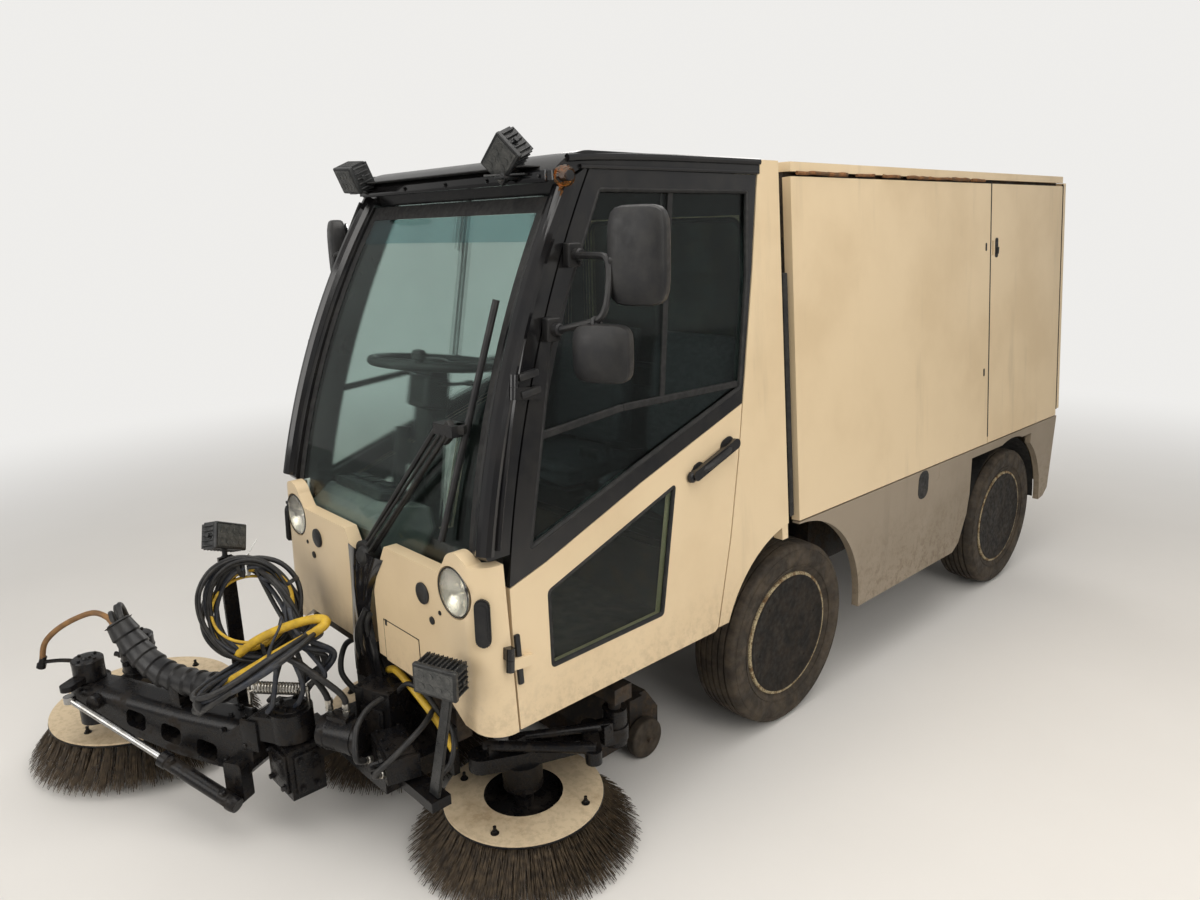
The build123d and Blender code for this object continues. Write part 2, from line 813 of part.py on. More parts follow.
# Dashboard: a moulded console on the right, with the steering column and wheel behind it
with BuildPart() as dashboard:
    with BuildSketch(Plane.YZ.offset(-500)):
        with BuildLine():
            Polyline(
                (-1262, cab_floor_z + seat_gap),
                (-1262, ground + 900),
                (-1180, ground + 960),
                (-1060, ground + 930),
                (-1050, ground + 860),
                (-1150, ground + 700),
                (-1150, cab_floor_z + seat_gap),
                close=True,
            )
        make_face()
    extrude(amount=420)
    column_foot = (-250, -1015, cab_floor_z + 8)
    column_top = (-230, -914, ground + 1350)
    with Locations((-250, -1015, cab_floor_z + seat_gap + 8)):
        Box(120, 100, 16)
    with BuildSketch(Plane(origin=column_foot, z_dir=Vector(*column_top) - Vector(*column_foot))):
        Rectangle(70, 90)
    extrude(amount=(Vector(*column_top) - Vector(*column_foot)).length)
    wheel_plane = Plane(origin=(-230, -912, ground + 1355), z_dir=(0, 0.12, 1))
    with BuildSketch(wheel_plane.offset(-12)):
        Circle(45)
        with PolarLocations(100, 3):
            Rectangle(190, 26)
    extrude(amount=14)
    wheel_side = Plane(origin=wheel_plane.origin, x_dir=(1, 0, 0), z_dir=(0, 1, -0.12))
    with BuildSketch(wheel_side):
        with Locations((195, 0)):
            Circle(15)
    revolve(axis=Axis(wheel_plane.origin, wheel_plane.z_dir))
save(dashboard.part, "dashboard")

# Seats: base, cushion and back for the driver and the passenger
with BuildPart() as seats:
    for x in (-255, 255):
        with Locations((x, -300, seat_shelf_z + seat_gap + 55)):
            Box(300, 300, 110)
        with Locations((x, -320, ground + 905)):
            Box(430, 400, 105)
        with Locations(Location((x, -190, ground + 1190), (-8, 0, 0))):
            Box(430, 90, 500)
save(seats.part, "seats")

# Grey skirts between and behind the wheels
skirt_mid = [
    # length position, height above the ground
    (270, 312),
    (1215, 312),
    (1268, 345),
    (1330, 470),
    (1345, 560),
    (1340, 764),
    (0, 764),
    (0, 500),
]
skirt_tail = [
    # length position from the tailgate, height above the ground
    (-312, 764),
    (-312, 345),
    (-282, 318),
    (-72, 345),
    (-23, 381),
    (4, 758),
    (4, 764),
]
with BuildPart() as skirts:
    with BuildSketch(Plane.YZ.offset(skirt_x - skirt_t)):
        with BuildLine():
            Polyline(*[(y, ground + h) for y, h in skirt_mid], close=True)
        make_face()
        with BuildLine():
            Polyline(*[(tailgate_y + y, ground + h) for y, h in skirt_tail], close=True)
        make_face()
        with Locations((1670, ground + 745)):
            Rectangle(700, 38)
        with Locations((0, hub_z)):
            Circle(front_arch_r, mode=Mode.SUBTRACT)
        with Locations((wheelbase, hub_z)):
            Circle(rear_arch_r, mode=Mode.SUBTRACT)
        with Locations((1010, ground + 745)):
            SlotOverall(100, 46, rotation=90, mode=Mode.SUBTRACT)
    extrude(amount=skirt_t)
    mirror(about=Plane.YZ)
save(skirts.part, "skirts")

# Rear bumper panel with its lamp clusters
with BuildPart() as bumper:
    with Locations((0, tailgate_y - 41, ground + 537)):
        Box(2 * (skirt_x - skirt_t - seat_gap), 30, 235)
    for side in (1, -1):
        with Locations((side * 430, tailgate_y - 22, ground + 580)):
            Box(170, 12, 90)
save(bumper.part, "rear_bumper")

# Suction mouth on two casters between the front wheels, and the duct up to the hopper
caster_x = 340
caster_y = -540
caster_r = 70
caster_z = ground + caster_r + 1
caster_w = 40
caster_pin_r = 8
with BuildPart() as mouth:
    with BuildSketch(Plane.YZ.offset(-290)):
        with BuildLine():
            Polyline(
                (-700, ground + 35),
                (-700, ground + 120),
                (-600, ground + 205),
                (-480, ground + 205),
                (-420, ground + 120),
                (-420, ground + 35),
                close=True,
            )
        make_face()
    extrude(amount=580)
    with BuildSketch(Plane.XY.offset(ground + 35)):
        with Locations((0, -560)):
            Rectangle(540, 240)
    extrude(amount=60, mode=Mode.SUBTRACT)
    for side in (1, -1):
        with Locations((side * 299, -550, ground + 130)):
            Box(28, 60, 160)
        with Locations((side * (caster_x + 3), caster_y, caster_z)):
            Cylinder(caster_pin_r, caster_w + 20, rotation=(0, 90, 0))
        with Locations((side * 120, -560, ground + 334)):
            Cylinder(10, 270)
save(mouth.part, "suction_mouth")

for side, where in ((1, "left"), (-1, "right")):
    with BuildPart() as caster:
        with Locations((side * caster_x, caster_y, caster_z)):
            Cylinder(caster_r, caster_w, rotation=(0, 90, 0))
            Cylinder(caster_pin_r + run_clear, caster_w, rotation=(0, 90, 0), mode=Mode.SUBTRACT)
        fillet(caster.edges().filter_by(GeomType.CIRCLE).sort_by(SortBy.LENGTH)[-2:], 10)
    save(caster.part, f"caster_{where}")

with BuildPart() as duct:
    with BuildLine(mode=Mode.PRIVATE) as duct_path:
        FilletPolyline(
            (0, -560, ground + 205 + seat_gap),
            (0, -560, ground + 330),
            (0, 110, ground + 560),
            (0, 110, tub_floor_z - seat_gap),
            radius=120,
        )
    with BuildSketch(Plane(origin=duct_path.line @ 0, z_dir=duct_path.line % 0)):
        Circle(68)
    sweep(path=duct_path.line)
save(duct.part, "suction_duct")

# Hopper tub: floor, front wall, sides and roof, open at the rear
with BuildPart() as tub:
    add(envelope(panel_t + seat_gap, hopper_front_y + 4, hopper_rear_y, tub_floor_z, roof_z - 30))
    add(
        envelope(
            panel_t + seat_gap + tub_t,
            hopper_front_y + 4 + tub_t,
            hopper_rear_y + 10,
            tub_floor_z + tub_t,
            roof_z - 30 - tub_t,
        ),
        mode=Mode.SUBTRACT,
    )
    for side in (1, -1):
        with BuildSketch(Plane.YZ.offset(side * 236 - 8)):
            with Locations((tip_y, tip_z)):
                Circle(26)
            with BuildLine():
                Polyline(
                    (tip_y, tip_z + 26),
                    (tip_y - 26, tip_z),
                    (rail_end_y - 55, tub_floor_z + 1),
                    (hopper_rear_y, tub_floor_z + 10),
                    (tailgate_y + 6, tub_floor_z),
                    close=True,
                )
            make_face()
            with Locations((tip_y, tip_z)):
                Circle(15 + run_clear, mode=Mode.SUBTRACT)
        extrude(amount=16)
    with Locations((0, 1950, tub_floor_z - 12)):
        Box(40, 90, 26)
save(tub.part, "hopper_tub")

# Hopper side panels: the long one, and the short one behind the seam, on each side
with BuildPart() as side_panels:
    with BuildSketch(side_plane):
        for y_from, y_to in ((2, side_seam_y), (side_seam_y + seam, hopper_rear_y)):
            with BuildLine():
                Polyline(
                    on_side(y_from, 770),
                    on_side(y_from, 1911),
                    on_side(y_to, 1911),
                    on_side(y_to, 770),
                    close=True,
                )
            make_face()
        with Locations(on_side(1513, 1640)):
            Rectangle(18, 62, mode=Mode.SUBTRACT)
    extrude(amount=-panel_t)
    mirror(about=Plane.YZ)
save(side_panels.part, "hopper_side_panels")

# Hopper roof over tub and panels, with three knuckles for the tailgate's hinge
gate_hinge_y = tailgate_y + 14
gate_hinge_z = ground + 1938
gate_knuckle_r = 11
gate_pin_r = 6
with BuildPart() as hopper_roof:
    add(envelope(0, 2, hopper_rear_y, roof_z - 29.7, roof_z))
    for x in (0, 350, -350):
        with BuildSketch(Plane.YZ.offset(x - 40)):
            with Locations((gate_hinge_y, gate_hinge_z)):
                Circle(gate_knuckle_r)
            with Locations(((hopper_rear_y - 10 + gate_hinge_y) / 2, gate_hinge_z)):
                Rectangle(gate_hinge_y - hopper_rear_y + 10, 2 * gate_knuckle_r)
            with Locations((gate_hinge_y, gate_hinge_z)):
                Circle(gate_pin_r + run_clear, mode=Mode.SUBTRACT)
        extrude(amount=80)
save(hopper_roof.part, "hopper_roof")

# Tailgate, hinged along its top edge
with BuildPart() as tailgate:
    add(envelope(2, tailgate_y, tailgate_y + tailgate_t, ground + 800, ground + 1925))
    fillet(tailgate.faces().sort_by(Axis.Y)[-1].edges(), 14)
    for x in (175, -175):
        with BuildSketch(Plane.YZ.offset(x - 130)):
            with Locations((gate_hinge_y, gate_hinge_z)):
                Circle(gate_knuckle_r)
            with Locations((gate_hinge_y, gate_hinge_z - 10)):
                Rectangle(2 * gate_knuckle_r, 20)
        extrude(amount=260)
        with Locations((x, gate_hinge_y, gate_hinge_z)):
            Cylinder(gate_pin_r, 330, rotation=(0, 90, 0))
save(tailgate.part, "tailgate")

# Tipping ram: barrel on the chassis, rod to the lug under the hopper floor
ram_base = (0, 1500, ground + 470)
ram_eye = (0, 1950, ground + 755)
with BuildPart() as ram_barrel:
    add(rod_between(along(ram_base, ram_eye, 10), along(ram_base, ram_eye, 430), 32))
    with Locations(ram_base):
        Cylinder(26, 70, rotation=(0, 90, 0))
    with Locations(ram_base):
        Cylinder(12 + run_clear, 80, rotation=(0, 90, 0), mode=Mode.SUBTRACT)
    add(
        rod_between(along(ram_base, ram_eye, 60), along(ram_base, ram_eye, 431), 18 + run_clear),
        mode=Mode.SUBTRACT,
    )
save(ram_barrel.part, "ram_barrel")
with BuildPart() as ram_rod:
    add(rod_between(along(ram_base, ram_eye, 70), along(ram_base, ram_eye, 500), 18))
save(ram_rod.part, "ram_rod")


# Side brush arms: pivot bush, beam over the brush, motor, and two adjuster rods on top
def side_arm(side, name):
    with BuildPart() as arm:
        with BuildSketch(Plane.XY.offset(ground + 250)):
            bar_outline((arm_pivot_x, arm_pivot_y), (side_brush_x, side_brush_y), 84)
            bar_outline((side_brush_x, side_brush_y), (310, -1180), 84)
        extrude(amount=45)
        with Locations((arm_pivot_x, arm_pivot_y, ground + 292)):
            Cylinder(38, 120)
        with Locations((side_brush_x, side_brush_y, ground + 212)):
            Cylinder(60, 80)
        with Locations((side_brush_x, side_brush_y, ground + 145)):
            Cylinder(16, 90)
        with Locations((arm_pivot_x, arm_pivot_y, ground + 305)):
            Cylinder(20 + run_clear, 180, mode=Mode.SUBTRACT)
        add(rod_between((350, -1090, ground + 325), (505, -850, ground + 325), 14))
        add(rod_between((320, -1180, ground + 325), (560, -960, ground + 325), 16))
        with Locations((360, -1090, ground + 305), (495, -865, ground + 305), (330, -1165, ground + 305)):
            Box(36, 36, 60)
        with BuildSketch(Plane.XY.offset(ground + 280)):
            bar_outline((440, -880), (555, -965), 48)
        extrude(amount=40)
    piece = arm.part if side > 0 else mirror(arm.part, about=Plane.YZ)
    save(piece, name)


# Brush: a ring disc round a sunken hub plate, and the bristles that splay from under it
def brush(x, y, top, outer, hole, tip, gap, name):
    with BuildPart() as disc:
        with BuildSketch(Plane.XZ.offset(-y)):
            with BuildLine():
                Polyline(
                    (x + 16 + run_clear, top - 45),
                    (x + hole, top - 45),
                    (x + hole, top - 12),
                    (x + outer, top - 12),
                    (x + outer, top),
                    (x + hole - 8, top),
                    (x + hole - 8, top - 35),
                    (x + 30, top - 35),
                    (x + 30, top - 10),
                    (x + 16 + run_clear, top - 10),
                    close=True,
                )
            make_face()
        revolve(axis=Axis((x, y, 0), (0, 0, 1)))
    save(disc.part, f"{name}_disc")
    with BuildPart() as bristles:
        with BuildSketch(Plane.XZ.offset(-y)):
            with BuildLine():
                Polyline(
                    (x + hole + 1, top - 12.3),
                    (x + outer - 2, top - 12.3),
                    (x + outer, top - 40),
                    (x + tip, ground + gap),
                    (x + tip - 110, ground + gap),
                    (x + hole + 1, top - 50),
                    close=True,
                )
            make_face()
        revolve(axis=Axis((x, y, 0), (0, 0, 1)))
    save(bristles.part, f"{name}_bristles")


for side, where in ((1, "left"), (-1, "right")):
    side_arm(side, f"brush_arm_{where}")
    brush(side * side_brush_x, side_brush_y, disc_top, disc_r, disc_hole_r, tip_r, tip_gap, f"brush_{where}")
brush(
    front_brush_x,
    front_brush_y,
    front_disc_top,
    front_disc_r,
    front_hole_r,
    front_tip_r,
    front_tip_gap,
    "brush_front",
)

# Front carrier bolted to the chassis, with the boom's root pin and the hydraulics on it
lashing_x = 250
lashing_z = ground + 275
lashing_hole_r = 14
with BuildPart() as carrier:
    with Locations((20, -1345, ground + 285)):
        Box(420, 210, 60)
    with Locations((0, -1250, ground + 320)):
        Box(560, 20, 150)
    with Locations((boom_root_x, boom_root_y + 60, ground + 285)):
        Box(150, 100, 60)
    with Locations((boom_root_x, boom_root_y, ground + 235)):
        Box(150, 104, 160)
    with Locations((boom_root_x, boom_root_y, ground + 340)):
        Cylinder(22, 170)
    with Locations((310, -1385, ground + 285)):
        Box(200, 60, 30)
    with Locations((lashing_x, -1250, lashing_z), (-lashing_x, -1250, lashing_z)):
        Cylinder(lashing_hole_r, 20, rotation=(90, 0, 0), mode=Mode.SUBTRACT)
save(carrier.part, "front_carrier")

with BuildPart() as hydraulics:
    add(rod_between((-19, -1492, ground + 366.3), (99, -1438, ground + 366.3), 51))
    with Locations(Location((62, -1350, ground + 400 + seat_gap), (0, 0, 20))):
        Box(128, 88, 170)
    with Locations(Location((210, -1402, ground + 350 + seat_gap), (0, 0, -15))):
        Box(170, 94, 70)
save(hydraulics.part, "front_hydraulics")

# Boom: a box beam that falls towards its root, its upper edges well rounded, with three holes through it
head_ram_r = 22
ram_side = 117
head_ram_base = (-199, -1712, ground + 130)
head_ram_eye = (-780, -1990, ground + 360)
boom_angle = degrees(atan2(head_y - boom_root_y, head_x - boom_root_x))
boom_len = Vector(head_x - boom_root_x, head_y - boom_root_y).length
boom_plane = Plane(
    origin=(boom_root_x, boom_root_y, 0),
    x_dir=(cos(radians(boom_angle)), sin(radians(boom_angle)), 0),
    z_dir=(sin(radians(boom_angle)), -cos(radians(boom_angle)), 0),
)
with BuildPart() as boom:
    with BuildSketch(boom_plane.offset(-boom_w / 2)):
        with BuildLine():
            Polyline(
                (0, ground + 322),
                (0, ground + 405),
                (90, ground + 400),
                (150, ground + 358),
                (400, ground + 362),
                (boom_len - 100, ground + 385),
                (boom_len, ground + 385),
                (boom_len, ground + 315),
                (boom_len - 70, ground + 315),
                (640, ground + 262),
                (400, ground + 215),
                (130, ground + 195),
                (110, ground + 222),
                (100, ground + 322),
                close=True,
            )
        make_face()
        for along_boom, high in ((548, 307), (414, 282), (280, 252)):
            with Locations((along_boom, ground + high)):
                RectangleRounded(76, 62, 18, rotation=10, mode=Mode.SUBTRACT)
    extrude(amount=boom_w)
    top_edges = [
        edge
        for edge in boom.edges()
        if edge.length > 200 and edge.center().Z > ground + 350 and abs(edge.tangent_at(0.5).Z) < 0.2
    ]
    fillet(top_edges, boom_edge_r)
    with Locations((boom_root_x, boom_root_y, ground + 367)):
        Cylinder(boom_w / 2 + 4, 90)
    with Locations((head_x, head_y, ground + 350)):
        Cylinder(boom_w / 2, 70)
    with Locations((boom_root_x, boom_root_y, ground + 370)):
        Cylinder(22 + run_clear, 200, mode=Mode.SUBTRACT)
    with Locations((head_x, head_y, ground + 350)):
        Cylinder(20 + run_clear, 200, mode=Mode.SUBTRACT)
    ram_lug_out = ram_side - head_ram_r - seat_gap
    with BuildSketch(boom_plane.offset(-ram_lug_out)):
        with Locations((160, ground + 185)):
            RectangleRounded(64, 130, 12)
    extrude(amount=ram_lug_out - boom_w / 2 + 10)
    with BuildSketch(boom_plane.offset(-35)):
        with Locations((400, ground + 377.6)):
            Rectangle(36, 41.4)
    extrude(amount=70)
    with Locations((-480, -1560, ground + 546)):
        Box(14, 44, 508)
    with Locations((-480, -1626, ground + 299)):
        Box(60, 152, 14)
save(boom.part, "boom")

with BuildPart() as boom_lamp:
    with Locations(Location((-490, -1550, ground + 860), (20, 0, -40))):
        Box(124, 70, 84)
    with Locations((-480, -1560, ground + 820 + seat_gap)):
        Cylinder(9, 40)
save(boom_lamp.part, "boom_lamp")

# Brush head: capped post on the boom's end pin, arm to the brush and its motor
with BuildPart() as head:
    with Locations((head_x, head_y, ground + 420)):
        Cylinder(47, 64)
    with Locations((head_x, head_y, ground + 350)):
        Cylinder(20, 200)
    with Locations((head_x, head_y, ground + 275)):
        Cylinder(47, 74)
    with BuildSketch(Plane.XY.offset(ground + 392)):
        bar_outline((head_x, head_y), head_ram_eye[:2], 44)
    extrude(amount=18)
    with BuildSketch(Plane.XY.offset(ground + 238)):
        bar_outline((head_x, head_y), (front_brush_x, front_brush_y), 90)
    extrude(amount=40)
    with Locations((front_brush_x, front_brush_y, ground + 335)):
        Cylinder(56, 150)
    with Locations((front_brush_x, front_brush_y, ground + 190)):
        Cylinder(16, 110)
save(head.part, "brush_head")

# Head ram along the front of the boom
with BuildPart() as head_ram_barrel:
    add(rod_between(head_ram_base, along(head_ram_base, head_ram_eye, 300), head_ram_r))
    add(
        rod_between(
            along(head_ram_base, head_ram_eye, 20), along(head_ram_base, head_ram_eye, 301), 11 + run_clear
        ),
        mode=Mode.SUBTRACT,
    )
save(head_ram_barrel.part, "head_ram_barrel")
with BuildPart() as head_ram_rod:
    add(rod_between(along(head_ram_base, head_ram_eye, 75), head_ram_eye, 11))
    with Locations(head_ram_eye):
        Cylinder(18, 22)
save(head_ram_rod.part, "head_ram_rod")

# Taped hose bundle along the boom, the coil of hoses under its lamp, and the loop over its root
with BuildPart() as hoses:
    with BuildLine(mode=Mode.PRIVATE) as bundle_path:
        FilletPolyline(
            (-345, -1655, ground + 440),
            (-466, -1719, ground + 434.7),
            (-550, -1763, ground + 455),
            (-632, -1804, ground + 535),
            (-682, -1833, ground + 635),
            radius=60,
        )
    with BuildSketch(Plane(origin=bundle_path.line @ 0, z_dir=bundle_path.line % 0)):
        Circle(38)
    sweep(path=bundle_path.line)
    for middle, facing, coil_r, thick in (
        ((-355, -1545, ground + 660), (0.80, -0.50, 0.25), 134, 28),
        ((-180, -1600, ground + 555), (-0.36, -0.23, 0.90), 190, 22),
    ):
        with BuildPart(Plane(origin=middle, z_dir=facing), mode=Mode.ADD):
            Torus(coil_r, thick)
save(hoses.part, "boom_hoses")
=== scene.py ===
import math
import random

import bmesh
import bpy
from mathutils import Matrix, Vector


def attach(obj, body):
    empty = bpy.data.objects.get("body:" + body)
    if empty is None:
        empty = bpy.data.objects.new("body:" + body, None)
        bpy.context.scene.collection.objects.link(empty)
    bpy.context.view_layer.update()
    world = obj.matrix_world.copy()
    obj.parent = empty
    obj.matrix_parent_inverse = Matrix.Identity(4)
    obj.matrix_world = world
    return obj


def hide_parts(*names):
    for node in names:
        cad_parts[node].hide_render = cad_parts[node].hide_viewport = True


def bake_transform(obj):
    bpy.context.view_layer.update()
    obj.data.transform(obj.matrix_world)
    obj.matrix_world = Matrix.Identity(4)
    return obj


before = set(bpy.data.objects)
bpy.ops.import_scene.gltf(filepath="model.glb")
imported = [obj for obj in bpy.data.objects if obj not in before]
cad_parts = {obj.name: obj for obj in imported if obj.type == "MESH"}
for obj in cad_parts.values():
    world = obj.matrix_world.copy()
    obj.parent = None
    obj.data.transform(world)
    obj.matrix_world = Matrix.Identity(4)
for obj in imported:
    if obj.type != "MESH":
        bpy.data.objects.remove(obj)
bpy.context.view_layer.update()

# Sizes and places of the modelled part, in metres
GROUND = -0.293
HUB_Z = GROUND + 0.338
WHEELBASE = 1.776
WHEEL_X = 0.4655
SIDE_LEAN = math.radians(3.98)
SIDE_REF_X = 0.573
SIDE_REF_Z = GROUND + 0.768
DISC_TOP = 0.145
FRONT_DISC_TOP = 0.172
FRONT_BRUSH = (-1.000, -1.730)
PANEL_Y = -1.331
PANEL_CORNER = 0.075
SCREEN_INSET = 0.0575
SEAT_X = 0.255


def at(x, y, height):
    """A point from its height above the ground."""
    return Vector((x, y, GROUND + height))


def side_x(height):
    """Half width of cab and hopper at a height above the ground."""
    return SIDE_REF_X - (GROUND + height - SIDE_REF_Z) * math.tan(SIDE_LEAN)


def on_side(y, height, out=0.0, half=1):
    """A point of the leaning side, some way outboard of it."""
    slant = (GROUND + height - SIDE_REF_Z) / math.cos(SIDE_LEAN)
    x = SIDE_REF_X - slant * math.sin(SIDE_LEAN) + out * math.cos(SIDE_LEAN)
    z = SIDE_REF_Z + slant * math.cos(SIDE_LEAN) + out * math.sin(SIDE_LEAN)
    return Vector((half * x, y, z))


# Finishes


class Finish:
    """A material with a few helpers that add nodes to it."""

    def __init__(self, name, rough=0.5, metallic=0.0):
        self.material = bpy.data.materials.new(name)
        self.material.use_nodes = True
        self.nodes = self.material.node_tree.nodes
        self.links = self.material.node_tree.links
        self.shader = self.nodes["Principled BSDF"]
        self.shader.inputs["Roughness"].default_value = rough
        self.shader.inputs["Metallic"].default_value = metallic
        self.place = self.nodes.new("ShaderNodeTexCoord").outputs["Object"]

    def stretched(self, scale):
        """Object coordinates stretched along an axis."""
        mapping = self.nodes.new("ShaderNodeMapping")
        mapping.inputs["Scale"].default_value = scale
        self.links.new(self.place, mapping.inputs["Vector"])
        return mapping.outputs["Vector"]

    def noise(self, scale, detail=4.0, rough=0.55, where=None):
        node = self.nodes.new("ShaderNodeTexNoise")
        node.inputs["Scale"].default_value = scale
        node.inputs["Detail"].default_value = detail
        node.inputs["Roughness"].default_value = rough
        self.links.new(where or self.place, node.inputs["Vector"])
        return node.outputs["Fac"]

    def ramp(self, value, low, high, start=0.0, end=1.0):
        """Smooth step of a value between low and high."""
        node = self.nodes.new("ShaderNodeMapRange")
        node.interpolation_type = "SMOOTHSTEP"
        for socket, number in (("From Min", low), ("From Max", high), ("To Min", start), ("To Max", end)):
            node.inputs[socket].default_value = number
        self.links.new(value, node.inputs["Value"])
        return node.outputs["Result"]

    def math(self, kind, a, b):
        node = self.nodes.new("ShaderNodeMath")
        node.operation = kind
        for socket, value in zip(node.inputs, (a, b)):
            if isinstance(value, (int, float)):
                socket.default_value = value
            else:
                self.links.new(value, socket)
        return node.outputs["Value"]

    def mix(self, share, a, b):
        node = self.nodes.new("ShaderNodeMix")
        node.data_type = "RGBA"
        self.links.new(share, node.inputs["Factor"])
        for socket, value in ((node.inputs["A"], a), (node.inputs["B"], b)):
            if isinstance(value, tuple):
                socket.default_value = (*value, 1.0)
            else:
                self.links.new(value, socket)
        return node.outputs["Result"]

    def height(self):
        """Height above the ground."""
        node = self.nodes.new("ShaderNodeSeparateXYZ")
        self.links.new(self.place, node.inputs["Vector"])
        return self.math("SUBTRACT", node.outputs["Z"], GROUND)

    def colour(self, value):
        if isinstance(value, tuple):
            self.shader.inputs["Base Color"].default_value = (*value, 1.0)
        else:
            self.links.new(value, self.shader.inputs["Base Color"])

    def roughness(self, value):
        self.links.new(value, self.shader.inputs["Roughness"])

    def bump(self, value, strength, distance):
        node = self.nodes.new("ShaderNodeBump")
        node.inputs["Strength"].default_value = strength
        node.inputs["Distance"].default_value = distance
        self.links.new(value, node.inputs["Height"])
        self.links.new(node.outputs["Normal"], self.shader.inputs["Normal"])


def paint(name, colour, worn, rough=0.32, dirt=(0.16, 0.12, 0.08), dirt_high=0.75, dirt_low=0.2):
    """Sprayed paint: faint clouding, run marks, dust that thickens towards the ground."""
    f = Finish(name, rough)
    cloud = f.ramp(f.noise(2.3, 5), 0.35, 0.7)
    tone = f.mix(cloud, colour, worn)
    runs = f.ramp(f.noise(9, 6, 0.6, f.stretched((1.0, 1.0, 0.09))), 0.56, 0.78, 0.0, 0.35)
    tone = f.mix(runs, tone, tuple(c * 0.62 for c in worn))
    near = f.ramp(f.height(), dirt_high, dirt_low)
    spots = f.ramp(f.noise(34, 6, 0.7), 0.42, 0.66)
    soil = f.math("MULTIPLY", near, f.math("ADD", f.math("MULTIPLY", spots, 0.7), 0.12))
    chips = f.ramp(f.noise(150, 2, 0.5), 0.71, 0.74, 0.0, 0.8)
    tone = f.mix(soil, tone, dirt)
    f.colour(f.mix(f.math("MULTIPLY", chips, near), tone, (0.05, 0.035, 0.025)))
    f.roughness(f.ramp(f.math("ADD", soil, f.math("MULTIPLY", cloud, 0.2)), 0.0, 1.0, rough, 0.85))
    f.bump(f.noise(420, 2), 0.035, 0.002)
    return f.material


def plain(
    name, colour, other, rough=0.5, metallic=0.0, cloud=14.0, grain=700.0, bump=0.12, spread=(0.35, 0.7),
    shine=0.32,
):
    """One stuff with clouding at one scale and a fine surface grain."""
    f = Finish(name, rough, metallic)
    if not metallic:
        f.shader.inputs["Specular IOR Level"].default_value = shine
    patch = f.ramp(f.noise(cloud, 5, 0.6), *spread)
    f.colour(f.mix(patch, colour, other))
    f.roughness(f.ramp(f.noise(cloud * 2.4, 4), 0.3, 0.7, rough * 0.82, min(1.0, rough * 1.2)))
    f.bump(f.noise(grain, 3), bump, 0.001)
    return f.material


def soiled(name, colour, rust, rough=0.7, amount=(0.44, 0.6), scale=11.0, specks=0.75, bump=0.5):
    """Paint that has gone dull, with rust and caked street dirt over part of it."""
    f = Finish(name, rough)
    f.shader.inputs["Specular IOR Level"].default_value = 0.22
    patch = f.ramp(f.noise(scale, 8, 0.68), *amount)
    speck = f.ramp(f.noise(scale * 7, 6, 0.7), 0.45, 0.62, 0.0, specks)
    tone = f.mix(patch, colour, rust)
    f.colour(f.mix(speck, tone, tuple(c * 0.45 for c in rust)))
    f.roughness(f.ramp(patch, 0.0, 1.0, rough * 0.8, 0.95))
    f.bump(f.noise(160, 5, 0.7), bump, 0.002)
    return f.material


CREAM = paint("cream_paint", (0.72, 0.565, 0.36), (0.645, 0.495, 0.305))
SKIRT_GREY = paint("skirt_grey_paint", (0.275, 0.222, 0.160), (0.225, 0.180, 0.125), 0.45)
FRAME_BLACK = plain(
    "pillar_black_paint", (0.008, 0.008, 0.009), (0.016, 0.015, 0.014), 0.17, bump=0.02, shine=0.5,
)
CHASSIS_BLACK = soiled("chassis_black_paint", (0.020, 0.018, 0.017), (0.075, 0.055, 0.038), 0.6)
MACHINE_BLACK = soiled(
    "machinery_black_paint", (0.006, 0.006, 0.007), (0.026, 0.020, 0.015), 0.34, (0.50, 0.68), bump=0.18,
)
MOULDED = plain(
    "moulded_black_plastic", (0.013, 0.013, 0.014), (0.024, 0.023, 0.022), 0.42, cloud=22, grain=900,
    bump=0.3,
)
DASH_GREY = plain("dash_grey_plastic", (0.150, 0.155, 0.155), (0.19, 0.19, 0.18), 0.62, grain=1100, bump=0.35)
TYRE = plain("tyre_rubber", (0.028, 0.022, 0.016), (0.066, 0.050, 0.034), 0.78, cloud=17, grain=500, bump=0.3)
RUBBER = plain(
    "hose_rubber", (0.014, 0.014, 0.015), (0.035, 0.033, 0.03), 0.46, cloud=40, grain=800, bump=0.15,
)
DISC_PAINT = soiled(
    "brush_disc_paint", (0.60, 0.48, 0.32), (0.36, 0.25, 0.14), 0.7, (0.48, 0.85), 7.0, 0.22, 0.2,
)
FLANGE = soiled("rim_flange_paint", (0.40, 0.33, 0.20), (0.15, 0.09, 0.045), 0.6, (0.44, 0.60), 24)
STEEL = plain("rod_steel", (0.40, 0.40, 0.40), (0.27, 0.26, 0.24), 0.22, 1.0, cloud=30, bump=0.05)
SEAT_CLOTH = plain(
    "seat_cloth", (0.03, 0.031, 0.036), (0.055, 0.055, 0.06), 0.9, cloud=60, grain=1600, bump=0.6,
)


def glass(name, tint, clear, bend=1.01, coat=0.6):
    """Tinted safety glass, seen straight through, with a faint reflection and an uneven tint."""
    f = Finish(name, 0.0)
    f.shader.inputs["Transmission Weight"].default_value = 1.0
    f.shader.inputs["Coat Weight"].default_value = coat
    f.shader.inputs["Coat IOR"].default_value = 1.5
    f.shader.inputs["IOR"].default_value = bend
    f.shader.inputs["Alpha"].default_value = clear
    film = f.ramp(f.noise(5, 6, 0.6), 0.35, 0.75)
    f.colour(f.mix(film, tint, tuple(c * 0.9 for c in tint)))
    return f.material


WINDOW = glass("window_glass", (0.42, 0.60, 0.53), 0.55, coat=0.75)
DOOR_WINDOW = glass("door_window_glass", (0.22, 0.30, 0.28), 0.66)
LENS = glass("lamp_lens", (0.76, 0.73, 0.58), 0.5, 1.45, 0.0)

